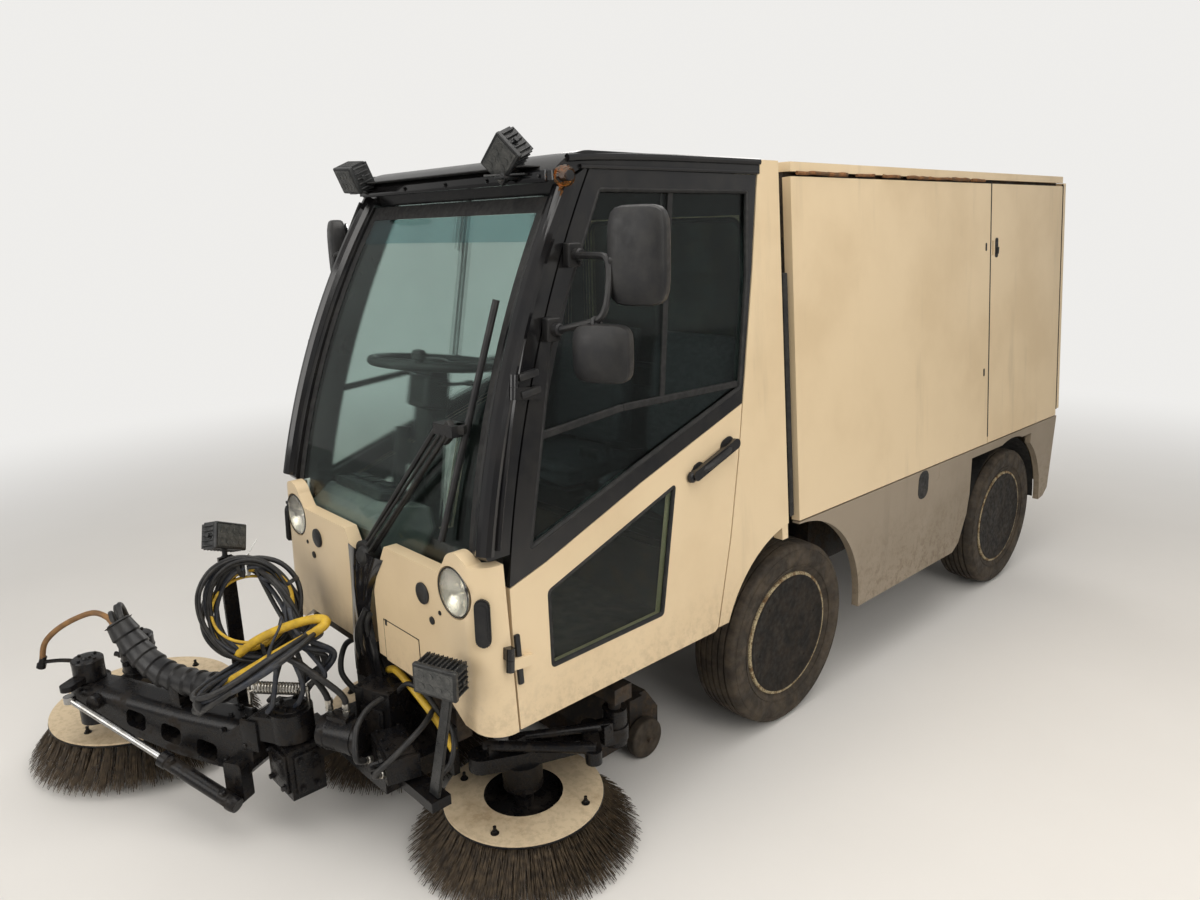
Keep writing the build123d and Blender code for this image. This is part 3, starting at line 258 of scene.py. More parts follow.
CAD_FINISH = {
    CREAM: "cab_hoop front_panel door_skin_left door_skin_right hopper_side_panels hopper_roof tailgate",
    FLANGE: "rim_front_left rim_front_right rim_rear_left rim_rear_right",
    SKIRT_GREY: "skirts rear_bumper",
    FRAME_BLACK: "cab_roof cab_pillars door_frame_left door_frame_right",
    CHASSIS_BLACK: (
        "axles chassis_frame engine_block cab_floor knuckle_left knuckle_right suction_mouth "
        "hopper_tub"
    ),
    MACHINE_BLACK: (
        "front_hydraulics brush_arm_left brush_arm_right ram_barrel head_ram_barrel boom brush_head "
        "front_carrier"
    ),
    MOULDED: "mirrors_left mirrors_right work_lamps boom_lamp wiper",
    DASH_GREY: "dashboard",
    TYRE: "tyre_front_left tyre_front_right tyre_rear_left tyre_rear_right caster_left caster_right",
    RUBBER: "suction_duct boom_hoses brush_left_bristles brush_right_bristles brush_front_bristles",
    DISC_PAINT: "brush_left_disc brush_right_disc brush_front_disc",
    STEEL: "ram_rod head_ram_rod",
    WINDOW: "cab_glass",
    DOOR_WINDOW: "door_glass_left door_glass_right",
    LENS: "front_lamps",
    SEAT_CLOTH: "seats",
}
for stuff, names in CAD_FINISH.items():
    for name in names.split():
        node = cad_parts[name]
        node.data.materials.clear()
        node.data.materials.append(stuff)

# Mesh helpers


def turned(mesh_part, start, axis):
    """Moves a small mesh from the origin, its Z along an axis, to a start point."""
    frame_of = Vector(axis).to_track_quat("Z", "Y").to_matrix().to_4x4()
    bmesh.ops.transform(mesh_part, matrix=Matrix.Translation(start) @ frame_of, verts=mesh_part.verts)


def merge(into, part, place=None):
    """Adds one bmesh to another, moved by a matrix if there is one."""
    if place:
        bmesh.ops.transform(part, matrix=place, verts=part.verts)
    spare = bpy.data.meshes.new("spare")
    part.to_mesh(spare)
    part.free()
    into.from_mesh(spare)
    bpy.data.meshes.remove(spare)


def new_object(bm, name):
    """Turns a bmesh into an object of the scene."""
    mesh = bpy.data.meshes.new(name)
    bm.to_mesh(mesh)
    bm.free()
    obj = bpy.data.objects.new(name, mesh)
    bpy.context.scene.collection.objects.link(obj)
    return obj


def plain_mesh(obj):
    """A mesh of the object as its modifiers or curve settings make it."""
    return bpy.data.meshes.new_from_object(obj.evaluated_get(bpy.context.evaluated_depsgraph_get()))


def about_z(degrees):
    """A turn about the upright axis."""
    return Matrix.Rotation(math.radians(degrees), 4, "Z")


def add_block(bm, centre, size, turn=(0, 0, 0), bevel=0.004, segments=2):
    """A block with softened edges, turned by Euler degrees."""
    part = bmesh.new()
    bmesh.ops.create_cube(part, size=1)
    bmesh.ops.scale(part, vec=size, verts=part.verts)
    if bevel:
        bmesh.ops.bevel(
            part, geom=part.edges[:], offset=min(bevel, 0.45 * min(size)), segments=segments,
            profile=0.6, affect="EDGES",
        )
    spin = about_z(turn[2]) @ Matrix.Rotation(math.radians(turn[1]), 4, "Y")
    spin = spin @ Matrix.Rotation(math.radians(turn[0]), 4, "X")
    merge(bm, part, Matrix.Translation(centre) @ spin)


def add_lathe(bm, profile, centre, axis=(0, 0, 1), steps=48):
    """Turns (distance along the axis, radius) points about an axis; ends are closed."""
    part = bmesh.new()
    rings = []
    for along, radius in profile:
        if radius < 1e-5:
            rings.append([part.verts.new((0, 0, along))])
            continue
        rings.append(
            [
                part.verts.new((radius * math.cos(a), radius * math.sin(a), along))
                for a in (2 * math.pi * i / steps for i in range(steps))
            ]
        )
    for low, high in zip(rings, rings[1:]):
        for i in range(steps):
            j = (i + 1) % steps
            if len(low) == 1 and len(high) > 1:
                part.faces.new((low[0], high[j], high[i]))
            elif len(high) == 1 and len(low) > 1:
                part.faces.new((low[i], low[j], high[0]))
            elif len(low) > 1:
                part.faces.new((low[i], low[j], high[j], high[i]))
    for ring, flip in ((rings[0], True), (rings[-1], False)):
        if len(ring) > 1:
            part.faces.new(ring[::-1] if flip else ring)
    bmesh.ops.recalc_face_normals(part, faces=part.faces)
    turned(part, centre, axis)
    merge(bm, part)


def add_rod(bm, start, end, radius, sides=14, end_radius=None):
    """A straight round rod between two points."""
    run = Vector(end) - Vector(start)
    add_lathe(
        bm, [(0, radius), (run.length, radius if end_radius is None else end_radius)], start, run, sides,
    )


def add_bolt(bm, place, axis, across=0.016, high=0.008):
    """A hexagon head on a washer."""
    add_lathe(bm, [(0, across * 0.72), (0.002, across * 0.72)], place, axis, 16)
    add_lathe(bm, [(0.002, across / 2), (high, across / 2), (high + 0.001, across * 0.4)], place, axis, 6)


def add_bolt_circle(bm, centre, radius, count, start, across, high):
    """Bolts round an upright axis, the first at a start angle in degrees."""
    for i in range(count):
        a = math.radians(360 // count * i + start)
        add_bolt(
            bm, centre + Vector((radius * math.cos(a), radius * math.sin(a), 0)), (0, 0, 1), across, high,
        )


def sleeve(inner, outer, half):
    """Profile of a short sleeve, half its length to each side."""
    return [(-half, inner), (-half, outer), (half, outer), (half, inner)]


def add_ring(bm, centre, axis, radius, thick, steps=48, sides=10):
    """A round ring."""
    profile = [
        (thick * math.sin(2 * math.pi * i / sides), radius + thick * math.cos(2 * math.pi * i / sides))
        for i in range(sides + 1)
    ]
    part = bmesh.new()
    add_lathe(part, profile, (0, 0, 0), (0, 0, 1), steps)
    caps = [face for face in part.faces if len(face.verts) == steps]
    bmesh.ops.delete(part, geom=caps, context="FACES")
    bmesh.ops.remove_doubles(part, verts=part.verts, dist=1e-6)
    turned(part, centre, axis)
    merge(bm, part)


def add_plate(bm, outline, thick, origin, across, up, bevel=0.0):
    """A flat plate from an outline of (across, up) points, its thickness along their normal."""
    across, up = Vector(across).normalized(), Vector(up).normalized()
    normal = across.cross(up).normalized()
    part = bmesh.new()
    low = [part.verts.new(Vector(origin) + across * u + up * v) for u, v in outline]
    face = part.faces.new(low)
    grown = bmesh.ops.extrude_face_region(part, geom=[face])
    moved = [v for v in grown["geom"] if isinstance(v, bmesh.types.BMVert)]
    bmesh.ops.translate(part, vec=normal * thick, verts=moved)
    bmesh.ops.recalc_face_normals(part, faces=part.faces)
    if bevel:
        bmesh.ops.bevel(part, geom=part.edges[:], offset=bevel, segments=2, affect="EDGES")
    merge(bm, part)


def rounded(width, high, corner, steps=5):
    """Outline of a rectangle with round corners, about its middle."""
    points = []
    for cx, cy, start in ((1, 1, 0), (-1, 1, 90), (-1, -1, 180), (1, -1, 270)):
        for i in range(steps + 1):
            a = math.radians(start + 90 * i / steps)
            points.append(
                (
                    cx * (width / 2 - corner) + corner * math.cos(a),
                    cy * (high / 2 - corner) + corner * math.sin(a),
                )
            )
    return points


def finish_piece(bm, name, stuff, body, replaced=(), sharp=32):
    """Makes the object, shades it, and rides it on its body, if it has just one."""
    bmesh.ops.remove_doubles(bm, verts=bm.verts, dist=1e-6)
    obj = new_object(bm, name)
    for polygon in obj.data.polygons:
        polygon.use_smooth = True
    obj.data.set_sharp_from_angle(angle=math.radians(sharp))
    obj.data.materials.append(stuff)
    if body:
        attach(obj, body)
    if replaced:
        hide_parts(*replaced)
    return obj


def hose_mesh(bm, points, radius, sides=10, closed=False, resolution=6):
    """A tube of even thickness along a smooth line through control points."""
    curve = bpy.data.curves.new("hose_line", "CURVE")
    curve.dimensions = "3D"
    spline = curve.splines.new("NURBS")
    spline.points.add(len(points) - 1)
    for spot, point in zip(spline.points, points):
        spot.co = (*point, 1.0)
    spline.order_u = 3
    spline.use_endpoint_u = not closed
    spline.use_cyclic_u = closed
    spline.resolution_u = resolution
    curve.bevel_depth = radius
    curve.bevel_resolution = max(0, sides // 2 - 2) // 2 + 1
    curve.use_fill_caps = not closed
    obj = bpy.data.objects.new("hose_line", curve)
    bpy.context.scene.collection.objects.link(obj)
    bpy.context.view_layer.update()
    mesh = plain_mesh(obj)
    bm.from_mesh(mesh)
    bpy.data.objects.remove(obj)
    bpy.data.meshes.remove(mesh)


# The lower door hinges, which stand out of the side between two heights, are painted black
HINGE_FRONT, HINGE_LOW, HINGE_TOP = -1.246, 0.65, 0.81
for name in ("door_skin_left", "door_skin_right", "front_panel", "cab_hoop"):
    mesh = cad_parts[name].data
    mesh.materials.append(FRAME_BLACK)
    for polygon in mesh.polygons:
        x, y, z = polygon.center
        stands_out = abs(x) > side_x(z - GROUND) + 0.0012
        if stands_out and y < HINGE_FRONT and HINGE_LOW < z - GROUND < HINGE_TOP:
            polygon.material_index = 1

# Wheels

TREAD_HALF = 0.0750
tyre_profile = [(-0.0875, 0.290), (-0.0850, 0.262), (-0.0800, 0.247), (-0.0740, 0.240), (-0.0710, 0.2300)]
tyre_profile = tyre_profile[::-1]
tyre_profile += [(-0.0868, 0.305), (-0.0845, 0.318), (-0.0815, 0.326), (-TREAD_HALF, 0.3322)]
for middle in (-0.050, -0.025, 0.0, 0.025, 0.050):
    crown = 0.338 - 0.006 * (abs(middle) / TREAD_HALF) ** 2
    tyre_profile += [
        (middle - 0.0042, crown - 0.0004),
        (middle - 0.0030, crown - 0.0085),
        (middle + 0.0030, crown - 0.0085),
        (middle + 0.0042, crown - 0.0004),
    ]
tyre_profile += [(-a, r) for a, r in tyre_profile[8::-1]]


def tyre(name, x, y, body):
    """Worn road tyre: five grooves round the tread and moulded rings on both sides."""
    bm = bmesh.new()
    add_lathe(bm, tyre_profile, (x, y, HUB_Z), (1, 0, 0), 120)
    for ring, half in ((0.252, 1), (0.252, -1), (0.312, 1), (0.312, -1)):
        out = 0.0832 if ring < 0.3 else 0.0858
        add_ring(bm, (x + half * out, y, HUB_Z), (1, 0, 0), ring, 0.0016, 96, 6)
    return finish_piece(bm, name, TYRE, body, (name.replace("_dressed", ""),), 40)


COVER = plain(
    "wheel_cover_black", (0.007, 0.006, 0.005), (0.022, 0.016, 0.011), 0.6, cloud=20, grain=500, bump=0.08,
    shine=0.2,
)
COVER_PROFILE = [
    (0.0722, 0.0), (0.0730, 0.030), (0.0740, 0.034), (0.0740, 0.120), (0.0752, 0.150), (0.0752, 0.194),
    (0.0786, 0.204), (0.0790, 0.213), (0.0772, 0.2180), (0.0722, 0.2185),
]
RIVET_CIRCLE = 0.165
for where, side, y in (
    ("front_left", 1, 0), ("front_right", -1, 0), ("rear_left", 1, WHEELBASE),
    ("rear_right", -1, WHEELBASE),
):
    body = f"wheel_{where}"
    x = side * WHEEL_X
    tyre(f"tyre_{where}_dressed", x, y, body)
    bm = bmesh.new()
    add_lathe(bm, COVER_PROFILE, (x, y, HUB_Z), (side, 0, 0), 72)
    for i in range(6):
        a = math.radians(60 * i + 12)
        place = (x + side * 0.0745, y + RIVET_CIRCLE * math.cos(a), HUB_Z + RIVET_CIRCLE * math.sin(a))
        add_lathe(bm, [(0, 0.0055), (0.0022, 0.0045)], place, (side, 0, 0), 10)
    finish_piece(bm, f"wheel_cover_{where}", COVER, body)

# Brushes

BRISTLE = plain(
    "worn_bristle", (0.020, 0.014, 0.009), (0.100, 0.070, 0.040), 0.7, cloud=55, grain=900, bump=0.1,
    spread=(0.3, 0.75),
)


def tuft_mesh(name, seed, reach, drop, strands=26):
    """One tuft that starts at the origin and splays along +X and down, its strands worn to odd lengths."""
    rng = random.Random(seed)
    bm = bmesh.new()
    for _ in range(strands):
        root = Vector((rng.uniform(-0.008, 0.008), rng.uniform(-0.011, 0.011), 0))
        length = rng.uniform(0.80, 1.0)
        fan = rng.uniform(-0.20, 0.20)
        lean = rng.uniform(-0.10, 0.06)
        previous = None
        for step in range(4):
            t = step / 3 * length
            spot = root + Vector(
                (reach * t * (0.78 + 0.22 * t + lean * t), reach * fan * t, -drop * t * (1.12 - 0.12 * t))
            )
            spot.z = max(spot.z, -drop)
            width = 0.0013 * (1 - 0.35 * t)
            ring = [
                bm.verts.new(spot + Vector((0, width * math.cos(a), width * math.sin(a))))
                for a in (0, 2.1, 4.2)
            ]
            if previous:
                for i in range(3):
                    j = (i + 1) % 3
                    bm.faces.new((previous[i], previous[j], ring[j], ring[i]))
            else:
                bm.faces.new(ring[::-1])
            previous = ring
        bm.faces.new(previous)
    bmesh.ops.recalc_face_normals(bm, faces=bm.faces)
    return new_object(bm, name)


def new_tree(name, inputs):
    """A node tree with a geometry output, its named inputs, and the node that gives them."""
    tree = bpy.data.node_groups.new(name, "GeometryNodeTree")
    tree.interface.new_socket("Geometry", in_out="OUTPUT", socket_type="NodeSocketGeometry")
    for label, kind in (*inputs, ("Shape", "Object"), ("Stuff", "Material")):
        tree.interface.new_socket(label, in_out="INPUT", socket_type=f"NodeSocket{kind}")
    return tree, tree.nodes.new("NodeGroupInput").outputs


def set_copies(tree, given, points, turn=None):
    """Ends a tree: a copy of the shape on each point, made real and given its material."""
    link = tree.links.new
    info = tree.nodes.new("GeometryNodeObjectInfo")
    link(given["Shape"], info.inputs["Object"])
    put = tree.nodes.new("GeometryNodeInstanceOnPoints")
    link(points, put.inputs["Points"])
    link(info.outputs["Geometry"], put.inputs["Instance"])
    if turn:
        link(turn, put.inputs["Rotation"])
    real = tree.nodes.new("GeometryNodeRealizeInstances")
    link(put.outputs[0], real.inputs[0])
    stuff = tree.nodes.new("GeometryNodeSetMaterial")
    link(real.outputs[0], stuff.inputs["Geometry"])
    link(given["Stuff"], stuff.inputs["Material"])
    link(stuff.outputs[0], tree.nodes.new("NodeGroupOutput").inputs[0])


def bristle_tree():
    """Sets a tuft on each point of a circle, turned outward, with small random turns."""
    tree, given = new_tree(
        "bristle_ring", (("Tufts", "Int"), ("Ring radius", "Float"), ("Wander", "Float"), ("Seed", "Int")),
    )
    link = tree.links.new

    def maths(kind, first):
        node = tree.nodes.new("ShaderNodeMath")
        node.operation = kind
        link(first, node.inputs[0])
        return node

    circle = tree.nodes.new("GeometryNodeMeshCircle")
    link(given["Tufts"], circle.inputs["Vertices"])
    link(given["Ring radius"], circle.inputs["Radius"])
    place = tree.nodes.new("GeometryNodeInputPosition")
    split = tree.nodes.new("ShaderNodeSeparateXYZ")
    link(place.outputs[0], split.inputs[0])
    turn = maths("ARCTAN2", split.outputs["Y"])
    link(split.outputs["X"], turn.inputs[1])
    odd = tree.nodes.new("FunctionNodeRandomValue")
    odd.data_type = "FLOAT"
    link(given["Seed"], odd.inputs["Seed"])
    low = maths("MULTIPLY", given["Wander"])
    low.inputs[1].default_value = -1.0
    link(low.outputs[0], odd.inputs[2])
    link(given["Wander"], odd.inputs[3])
    total = maths("ADD", turn.outputs[0])
    link(odd.outputs[1], total.inputs[1])
    spin = tree.nodes.new("ShaderNodeCombineXYZ")
    link(total.outputs[0], spin.inputs["Z"])
    set_copies(tree, given, circle.outputs["Mesh"], spin.outputs[0])
    return tree


BRISTLE_TREE = bristle_tree()


def run_tree(tree, values):
    """Runs a node tree on an empty mesh with its inputs set by name, and returns the plain mesh."""
    carrier = bpy.data.objects.new("carrier", bpy.data.meshes.new("carrier"))
    bpy.context.scene.collection.objects.link(carrier)
    modifier = carrier.modifiers.new("nodes", "NODES")
    modifier.node_group = tree
    for item in tree.interface.items_tree:
        if item.in_out == "INPUT" and item.name in values:
            modifier[item.identifier] = values[item.name]
    bpy.context.view_layer.update()
    mesh = plain_mesh(carrier)
    carrier.modifiers.clear()
    bpy.data.objects.remove(carrier)
    return mesh


def brush(name, x, y, top, disc_r, tip_r, gap):
    """Rings of tufts under the disc, the outer ones longer."""
    bm = bmesh.new()
    drop = top - 0.014 - gap
    for k, (inset, count, share) in enumerate(((0.020, 46, 1.0), (0.044, 42, 0.93), (0.068, 36, 0.84))):
        tuft = tuft_mesh(f"tuft_{name}_{k}", 11 + k, (tip_r - disc_r + 0.016) * share + 0.006 * k, drop)
        values = {
            "Tufts": count, "Ring radius": disc_r - inset, "Wander": 0.07, "Seed": 3 + k, "Shape": tuft,
            "Stuff": BRISTLE,
        }
        mesh = run_tree(BRISTLE_TREE, values)
        mesh.transform(Matrix.Translation(at(x, y, top - 0.013)) @ Matrix.Rotation(0.05 * k, 4, "Z"))
        bm.from_mesh(mesh)
        bpy.data.meshes.remove(mesh)
        bpy.data.objects.remove(tuft)
    return finish_piece(bm, f"{name}_tufts", BRISTLE, name, (f"{name}_bristles",), 60)


# Name, middle, top of the disc, its radius and hole, reach of the tips, gap below them
BRUSHES = (
    ("left", 0.362, -1.078, DISC_TOP, 0.238, 0.126, 0.357, 0.008),
    ("right", -0.362, -1.078, DISC_TOP, 0.238, 0.126, 0.357, 0.008),
    ("front", *FRONT_BRUSH, FRONT_DISC_TOP, 0.300, 0.150, 0.385, 0.030),
)
for name, x, y, top, outer, hole, tip, gap in BRUSHES:
    brush(f"brush_{name}", x, y, top, outer, tip, gap)

for name, x, y, top, outer, hole, tip, gap in BRUSHES:
    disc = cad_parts[f"brush_{name}_disc"].data
    disc.materials.append(MACHINE_BLACK)
    for polygon in disc.polygons:
        spot = polygon.center
        if math.hypot(spot.x - x, spot.y - y) < hole + 0.0006 or spot.z < GROUND + top - 0.016:
            polygon.material_index = 1
    bm = bmesh.new()
    ring = (outer + hole) / 2 + 0.015
    for i in range(4):
        a = math.radians(90 * i - 62)
        spot = at(x + ring * math.cos(a), y + ring * math.sin(a), top)
        add_bolt(bm, spot, (0, 0, 1), 0.017, 0.009)
        add_rod(bm, spot, spot + Vector((0, 0, 0.022)), 0.0052, 10)
    add_ring(bm, at(x, y, top - 0.010), (0, 0, 1), outer - 0.002, 0.0045, 64, 8)
    finish_piece(bm, f"brush_{name}_disc_fixings", MACHINE_BLACK, f"brush_{name}")

# Glazing trim and pillars

SCREEN = [(-0.935, 1.874), (-1.147, 1.465), (-1.286, 0.985)]


def circle_through(a, b, c):
    """Centre and radius of the circle through three points of a plane."""
    ax, ay, bx, by, cx, cy = *a, *b, *c
    d = 2 * (ax * (by - cy) + bx * (cy - ay) + cx * (ay - by))
    ux = ((ax**2 + ay**2) * (by - cy) + (bx**2 + by**2) * (cy - ay) + (cx**2 + cy**2) * (ay - by)) / d
    uy = ((ax**2 + ay**2) * (cx - bx) + (bx**2 + by**2) * (ax - cx) + (cx**2 + cy**2) * (bx - ax)) / d
    return (ux, uy), math.hypot(ax - ux, ay - uy)


(bow_y, bow_h), bow_r = circle_through(*SCREEN)


def screen_y(height):
    """Length position of the windscreen's outer face at a height above the ground."""
    foot_y, foot_height = SCREEN[-1]
    if height < foot_height:
        return foot_y
    return bow_y - math.sqrt(bow_r**2 - (height - bow_h) ** 2)


def add_screen_band(bm, low, high, edges, lift=0.0015, steps=26):
    """A strip on the windscreen between two heights; edges gives its two sides from the half width."""
    rows = []
    for i in range(steps + 1):
        h = low + (high - low) * i / steps
        half = side_x(h) - SCREEN_INSET
        rows.append([bm.verts.new(at(x, screen_y(h) - lift, h)) for x in edges(half)])
    for a, b in zip(rows, rows[1:]):
        bm.faces.new((a[0], a[1], b[1], b[0]))


# Black border and tinted sun band of the windscreen
SEAL = plain(
    "window_seal_rubber", (0.010, 0.010, 0.010), (0.022, 0.021, 0.02), 0.6, cloud=30, grain=600, bump=0.15,
)
GLOSS_BLACK = plain(
    "gloss_black_trim", (0.006, 0.006, 0.007), (0.011, 0.010, 0.010), 0.11, cloud=9, bump=0.01, shine=0.5,
)
SUNBAND = glass("sunband_tint", (0.12, 0.30, 0.34), 0.75)

bm = bmesh.new()
add_screen_band(bm, 0.70, 1.845, lambda half: (half, half - 0.030))
strip = bmesh.ops.duplicate(bm, geom=bm.verts[:] + bm.edges[:] + bm.faces[:])
bmesh.ops.scale(bm, vec=(-1, 1, 1), verts=[v for v in strip["geom"] if isinstance(v, bmesh.types.BMVert)])
add_screen_band(bm, 1.805, 1.846, lambda half: (half, half), steps=3)
for low, high in ((1.806, 1.846), (0.668, 0.700)):
    add_screen_band(bm, low, high, lambda half: (-half, half), steps=3)
bmesh.ops.solidify(bm, geom=bm.faces[:], thickness=0.001)
finish_piece(bm, "screen_border", SEAL, "vehicle")
bm = bmesh.new()
add_screen_band(bm, 1.735, 1.805, lambda half: (0.0305 - half, half - 0.0305), 0.0012, 4)
bmesh.ops.solidify(bm, geom=bm.faces[:], thickness=0.0008)
finish_piece(bm, "screen_sunband", SUNBAND, "vehicle")

# Bent tubes up the corners of the windscreen, and the bolted rail above it
bm = bmesh.new()
for half in (1, -1):
    hose_mesh(
        bm,
        [
            on_side(-0.944, 1.874, -0.010, half), on_side(-1.194, 1.494, -0.010, half),
            on_side(-1.294, 1.002, -0.010, half),
        ],
        0.024, 14, resolution=16,
    )
    hose_mesh(
        bm,
        [
            on_side(-0.975, 1.862, 0.001, half), on_side(-1.150, 1.545, 0.001, half),
            on_side(-1.262, 1.010, 0.001, half),
        ],
        0.009, 10, resolution=16,
    )
add_block(bm, at(0, -0.983, 1.893), (0.93, 0.012, 0.030), bevel=0.005)
for x in (-0.43, -0.2, 0.02, 0.22, 0.44):
    add_bolt(bm, at(x, -0.989, 1.893), (0, -1, 0), 0.010, 0.005)
finish_piece(bm, "pillar_tubes", GLOSS_BLACK, "vehicle")

# Rounded bead along the roof's edge and the drip rail
bm = bmesh.new()
for half in (1, -1):
    hose_mesh(
        bm,
        [
            on_side(-0.940, 1.935, 0.0, half), on_side(-0.80, 1.949, 0.0, half),
            on_side(-0.16, 1.949, 0.0, half),
        ],
        0.010, 10,
    )
    hose_mesh(
        bm,
        [
            on_side(-0.90, 1.916, 0.002, half), on_side(-0.50, 1.918, 0.002, half),
            on_side(-0.17, 1.918, 0.002, half),
        ],
        0.006, 8,
    )
finish_piece(bm, "roof_drip_rails", GLOSS_BLACK, "vehicle")

# Doors

UPPER_PANE = [
    (-0.838, 1.862), (-1.040, 1.480), (-1.160, 0.985), (-0.760, 1.120), (-0.294, 1.272), (-0.240, 1.600),
    (-0.222, 1.862),
]
LOWER_PANE = [(-1.122, 0.655), (-1.114, 0.858), (-0.618, 1.030), (-0.699, 0.660)]
LOCK = (-0.551, 1.043)


def bead(bm, outline, half, out, radius):
    """A rubber bead that follows a pane's outline on the leaning side, tight at its corners."""
    points = []
    count = len(outline)
    for i, corner in enumerate(outline):
        before, after = outline[i - 1], outline[(i + 1) % count]
        for other in (before, after):
            run = math.hypot(other[0] - corner[0], other[1] - corner[1])
            share = min(0.02 / run, 0.4)
            points.append(
                on_side(
                    corner[0] + (other[0] - corner[0]) * share, corner[1] + (other[1] - corner[1]) * share,
                    out, half,
                )
            )
        points.insert(-1, on_side(*corner, out, half))
    hose_mesh(bm, points, radius, 8, closed=True, resolution=4)


def add_bar(bm, start, end, half, out, wide, thick):
    """A flat bar on the leaning side between two of its points."""
    a, b = on_side(*start, out, half), on_side(*end, out, half)
    run = b - a
    outward = Vector((half * math.cos(SIDE_LEAN), 0, math.sin(SIDE_LEAN)))
    side = run.cross(outward).normalized() * wide / 2
    part = bmesh.new()
    corners = []
    for spot in (a, b):
        corners.append(
            [
                part.verts.new(spot + sx * side + sy * outward * thick / 2)
                for sx, sy in ((1, 1), (-1, 1), (-1, -1), (1, -1))
            ]
        )
    low, high = corners
    for i in range(4):
        j = (i + 1) % 4
        part.faces.new((low[i], low[j], high[j], high[i]))
    part.faces.new(low[::-1])
    part.faces.new(high)
    bmesh.ops.recalc_face_normals(part, faces=part.faces)
    bmesh.ops.bevel(part, geom=part.edges[:], offset=min(wide, thick) * 0.2, segments=1, affect="EDGES")
    merge(bm, part)


# Seals, window bars, handle, hinges and lock of each door
CHROME = plain("bright_metal", (0.75, 0.75, 0.74), (0.62, 0.61, 0.60), 0.12, 1.0, cloud=30, bump=0.02)
for half, where in ((1, "left"), (-1, "right")):
    body = f"door_{where}"
    bm = bmesh.new()
    bead(bm, UPPER_PANE, half, -0.006, 0.0075)
    bead(bm, LOWER_PANE, half, -0.004, 0.0070)
    add_bar(bm, (-0.559, 1.858), (-0.641, 1.287), half, -0.012, 0.020, 0.012)
    add_bar(bm, (-0.590, 1.858), (-0.612, 1.700), half, -0.016, 0.008, 0.006)
    add_bar(bm, (-1.092, 1.262), (-0.799, 1.289), half, -0.011, 0.020, 0.014)
    add_bar(bm, (-0.799, 1.289), (-0.300, 1.286), half, -0.011, 0.020, 0.014)
    finish_piece(bm, f"door_seals_{where}", SEAL, body)
    bm = bmesh.new()
    outward = Vector((half * math.cos(SIDE_LEAN), 0, math.sin(SIDE_LEAN)))
    along_door = (on_side(-0.353, 1.109, 0, half) - on_side(-0.541, 1.047, 0, half)).normalized()
    middle = on_side(-0.447, 1.078, 0.0008, half)
    across_door = outward.cross(along_door)
    add_plate(
        bm, rounded(0.066, 0.056, 0.024), 0.005 * half, middle + along_door * 0.078, along_door,
        across_door, 0.0015,
    )
    add_plate(
        bm, rounded(0.052, 0.046, 0.020), 0.005 * half, middle - along_door * 0.070, along_door,
        across_door, 0.0015,
    )
    add_lathe(
        bm, [(0.006, 0.017), (0.016, 0.016), (0.020, 0.012)], on_side(*LOCK, 0, half), outward, 20,
    )
    hose_mesh(
        bm,
        [
            on_side(-0.520, 1.054, 0.004, half), on_side(-0.508, 1.058, 0.024, half),
            on_side(-0.450, 1.077, 0.028, half), on_side(-0.385, 1.098, 0.024, half),
            on_side(-0.368, 1.104, 0.004, half),
        ],
        0.011, 10,
    )
    for y, high in ((-1.130, 1.422), (-1.128, 1.380)):
        add_block(bm, on_side(y, high, 0.010, half), (0.020, 0.062, 0.018), (8, 0, 0), 0.005)
    add_block(bm, on_side(-1.232, 0.715, 0.004, half), (0.012, 0.016, 0.135), (0, -4 * half, 0), 0.005)
    finish_piece(bm, f"door_handle_{where}", MOULDED, body)
    bm = bmesh.new()
    add_lathe(
        bm, [(0.020, 0.0), (0.0195, 0.006), (0.017, 0.0085), (0.012, 0.0085)],
        on_side(*LOCK, 0, half), outward, 20,
    )
    finish_piece(bm, f"door_lock_{where}", CHROME, body)

# Mirrors


def shell(bm, centre, size, turn, swell=0.35):
    """A moulded mirror back: a block with well rounded corners and a swollen face."""
    part = bmesh.new()
    bmesh.ops.create_cube(part, size=1)
    bmesh.ops.subdivide_edges(part, edges=part.edges[:], cuts=7, use_grid_fill=True)
    for v in part.verts:
        x, y, z = v.co * 2
        k = 1.0 / max(1e-6, (abs(x) ** 5 + abs(z) ** 5 + abs(y) ** 5) ** 0.2)
        v.co = Vector(
            (x * k, y * k * (1 - swell * (x * x + z * z) * 0.25 * (1 if y < 0 else 0.2)), z * k)
        ) / 2
    bmesh.ops.scale(part, vec=size, verts=part.verts)
    merge(bm, part, Matrix.Translation(centre) @ about_z(turn))


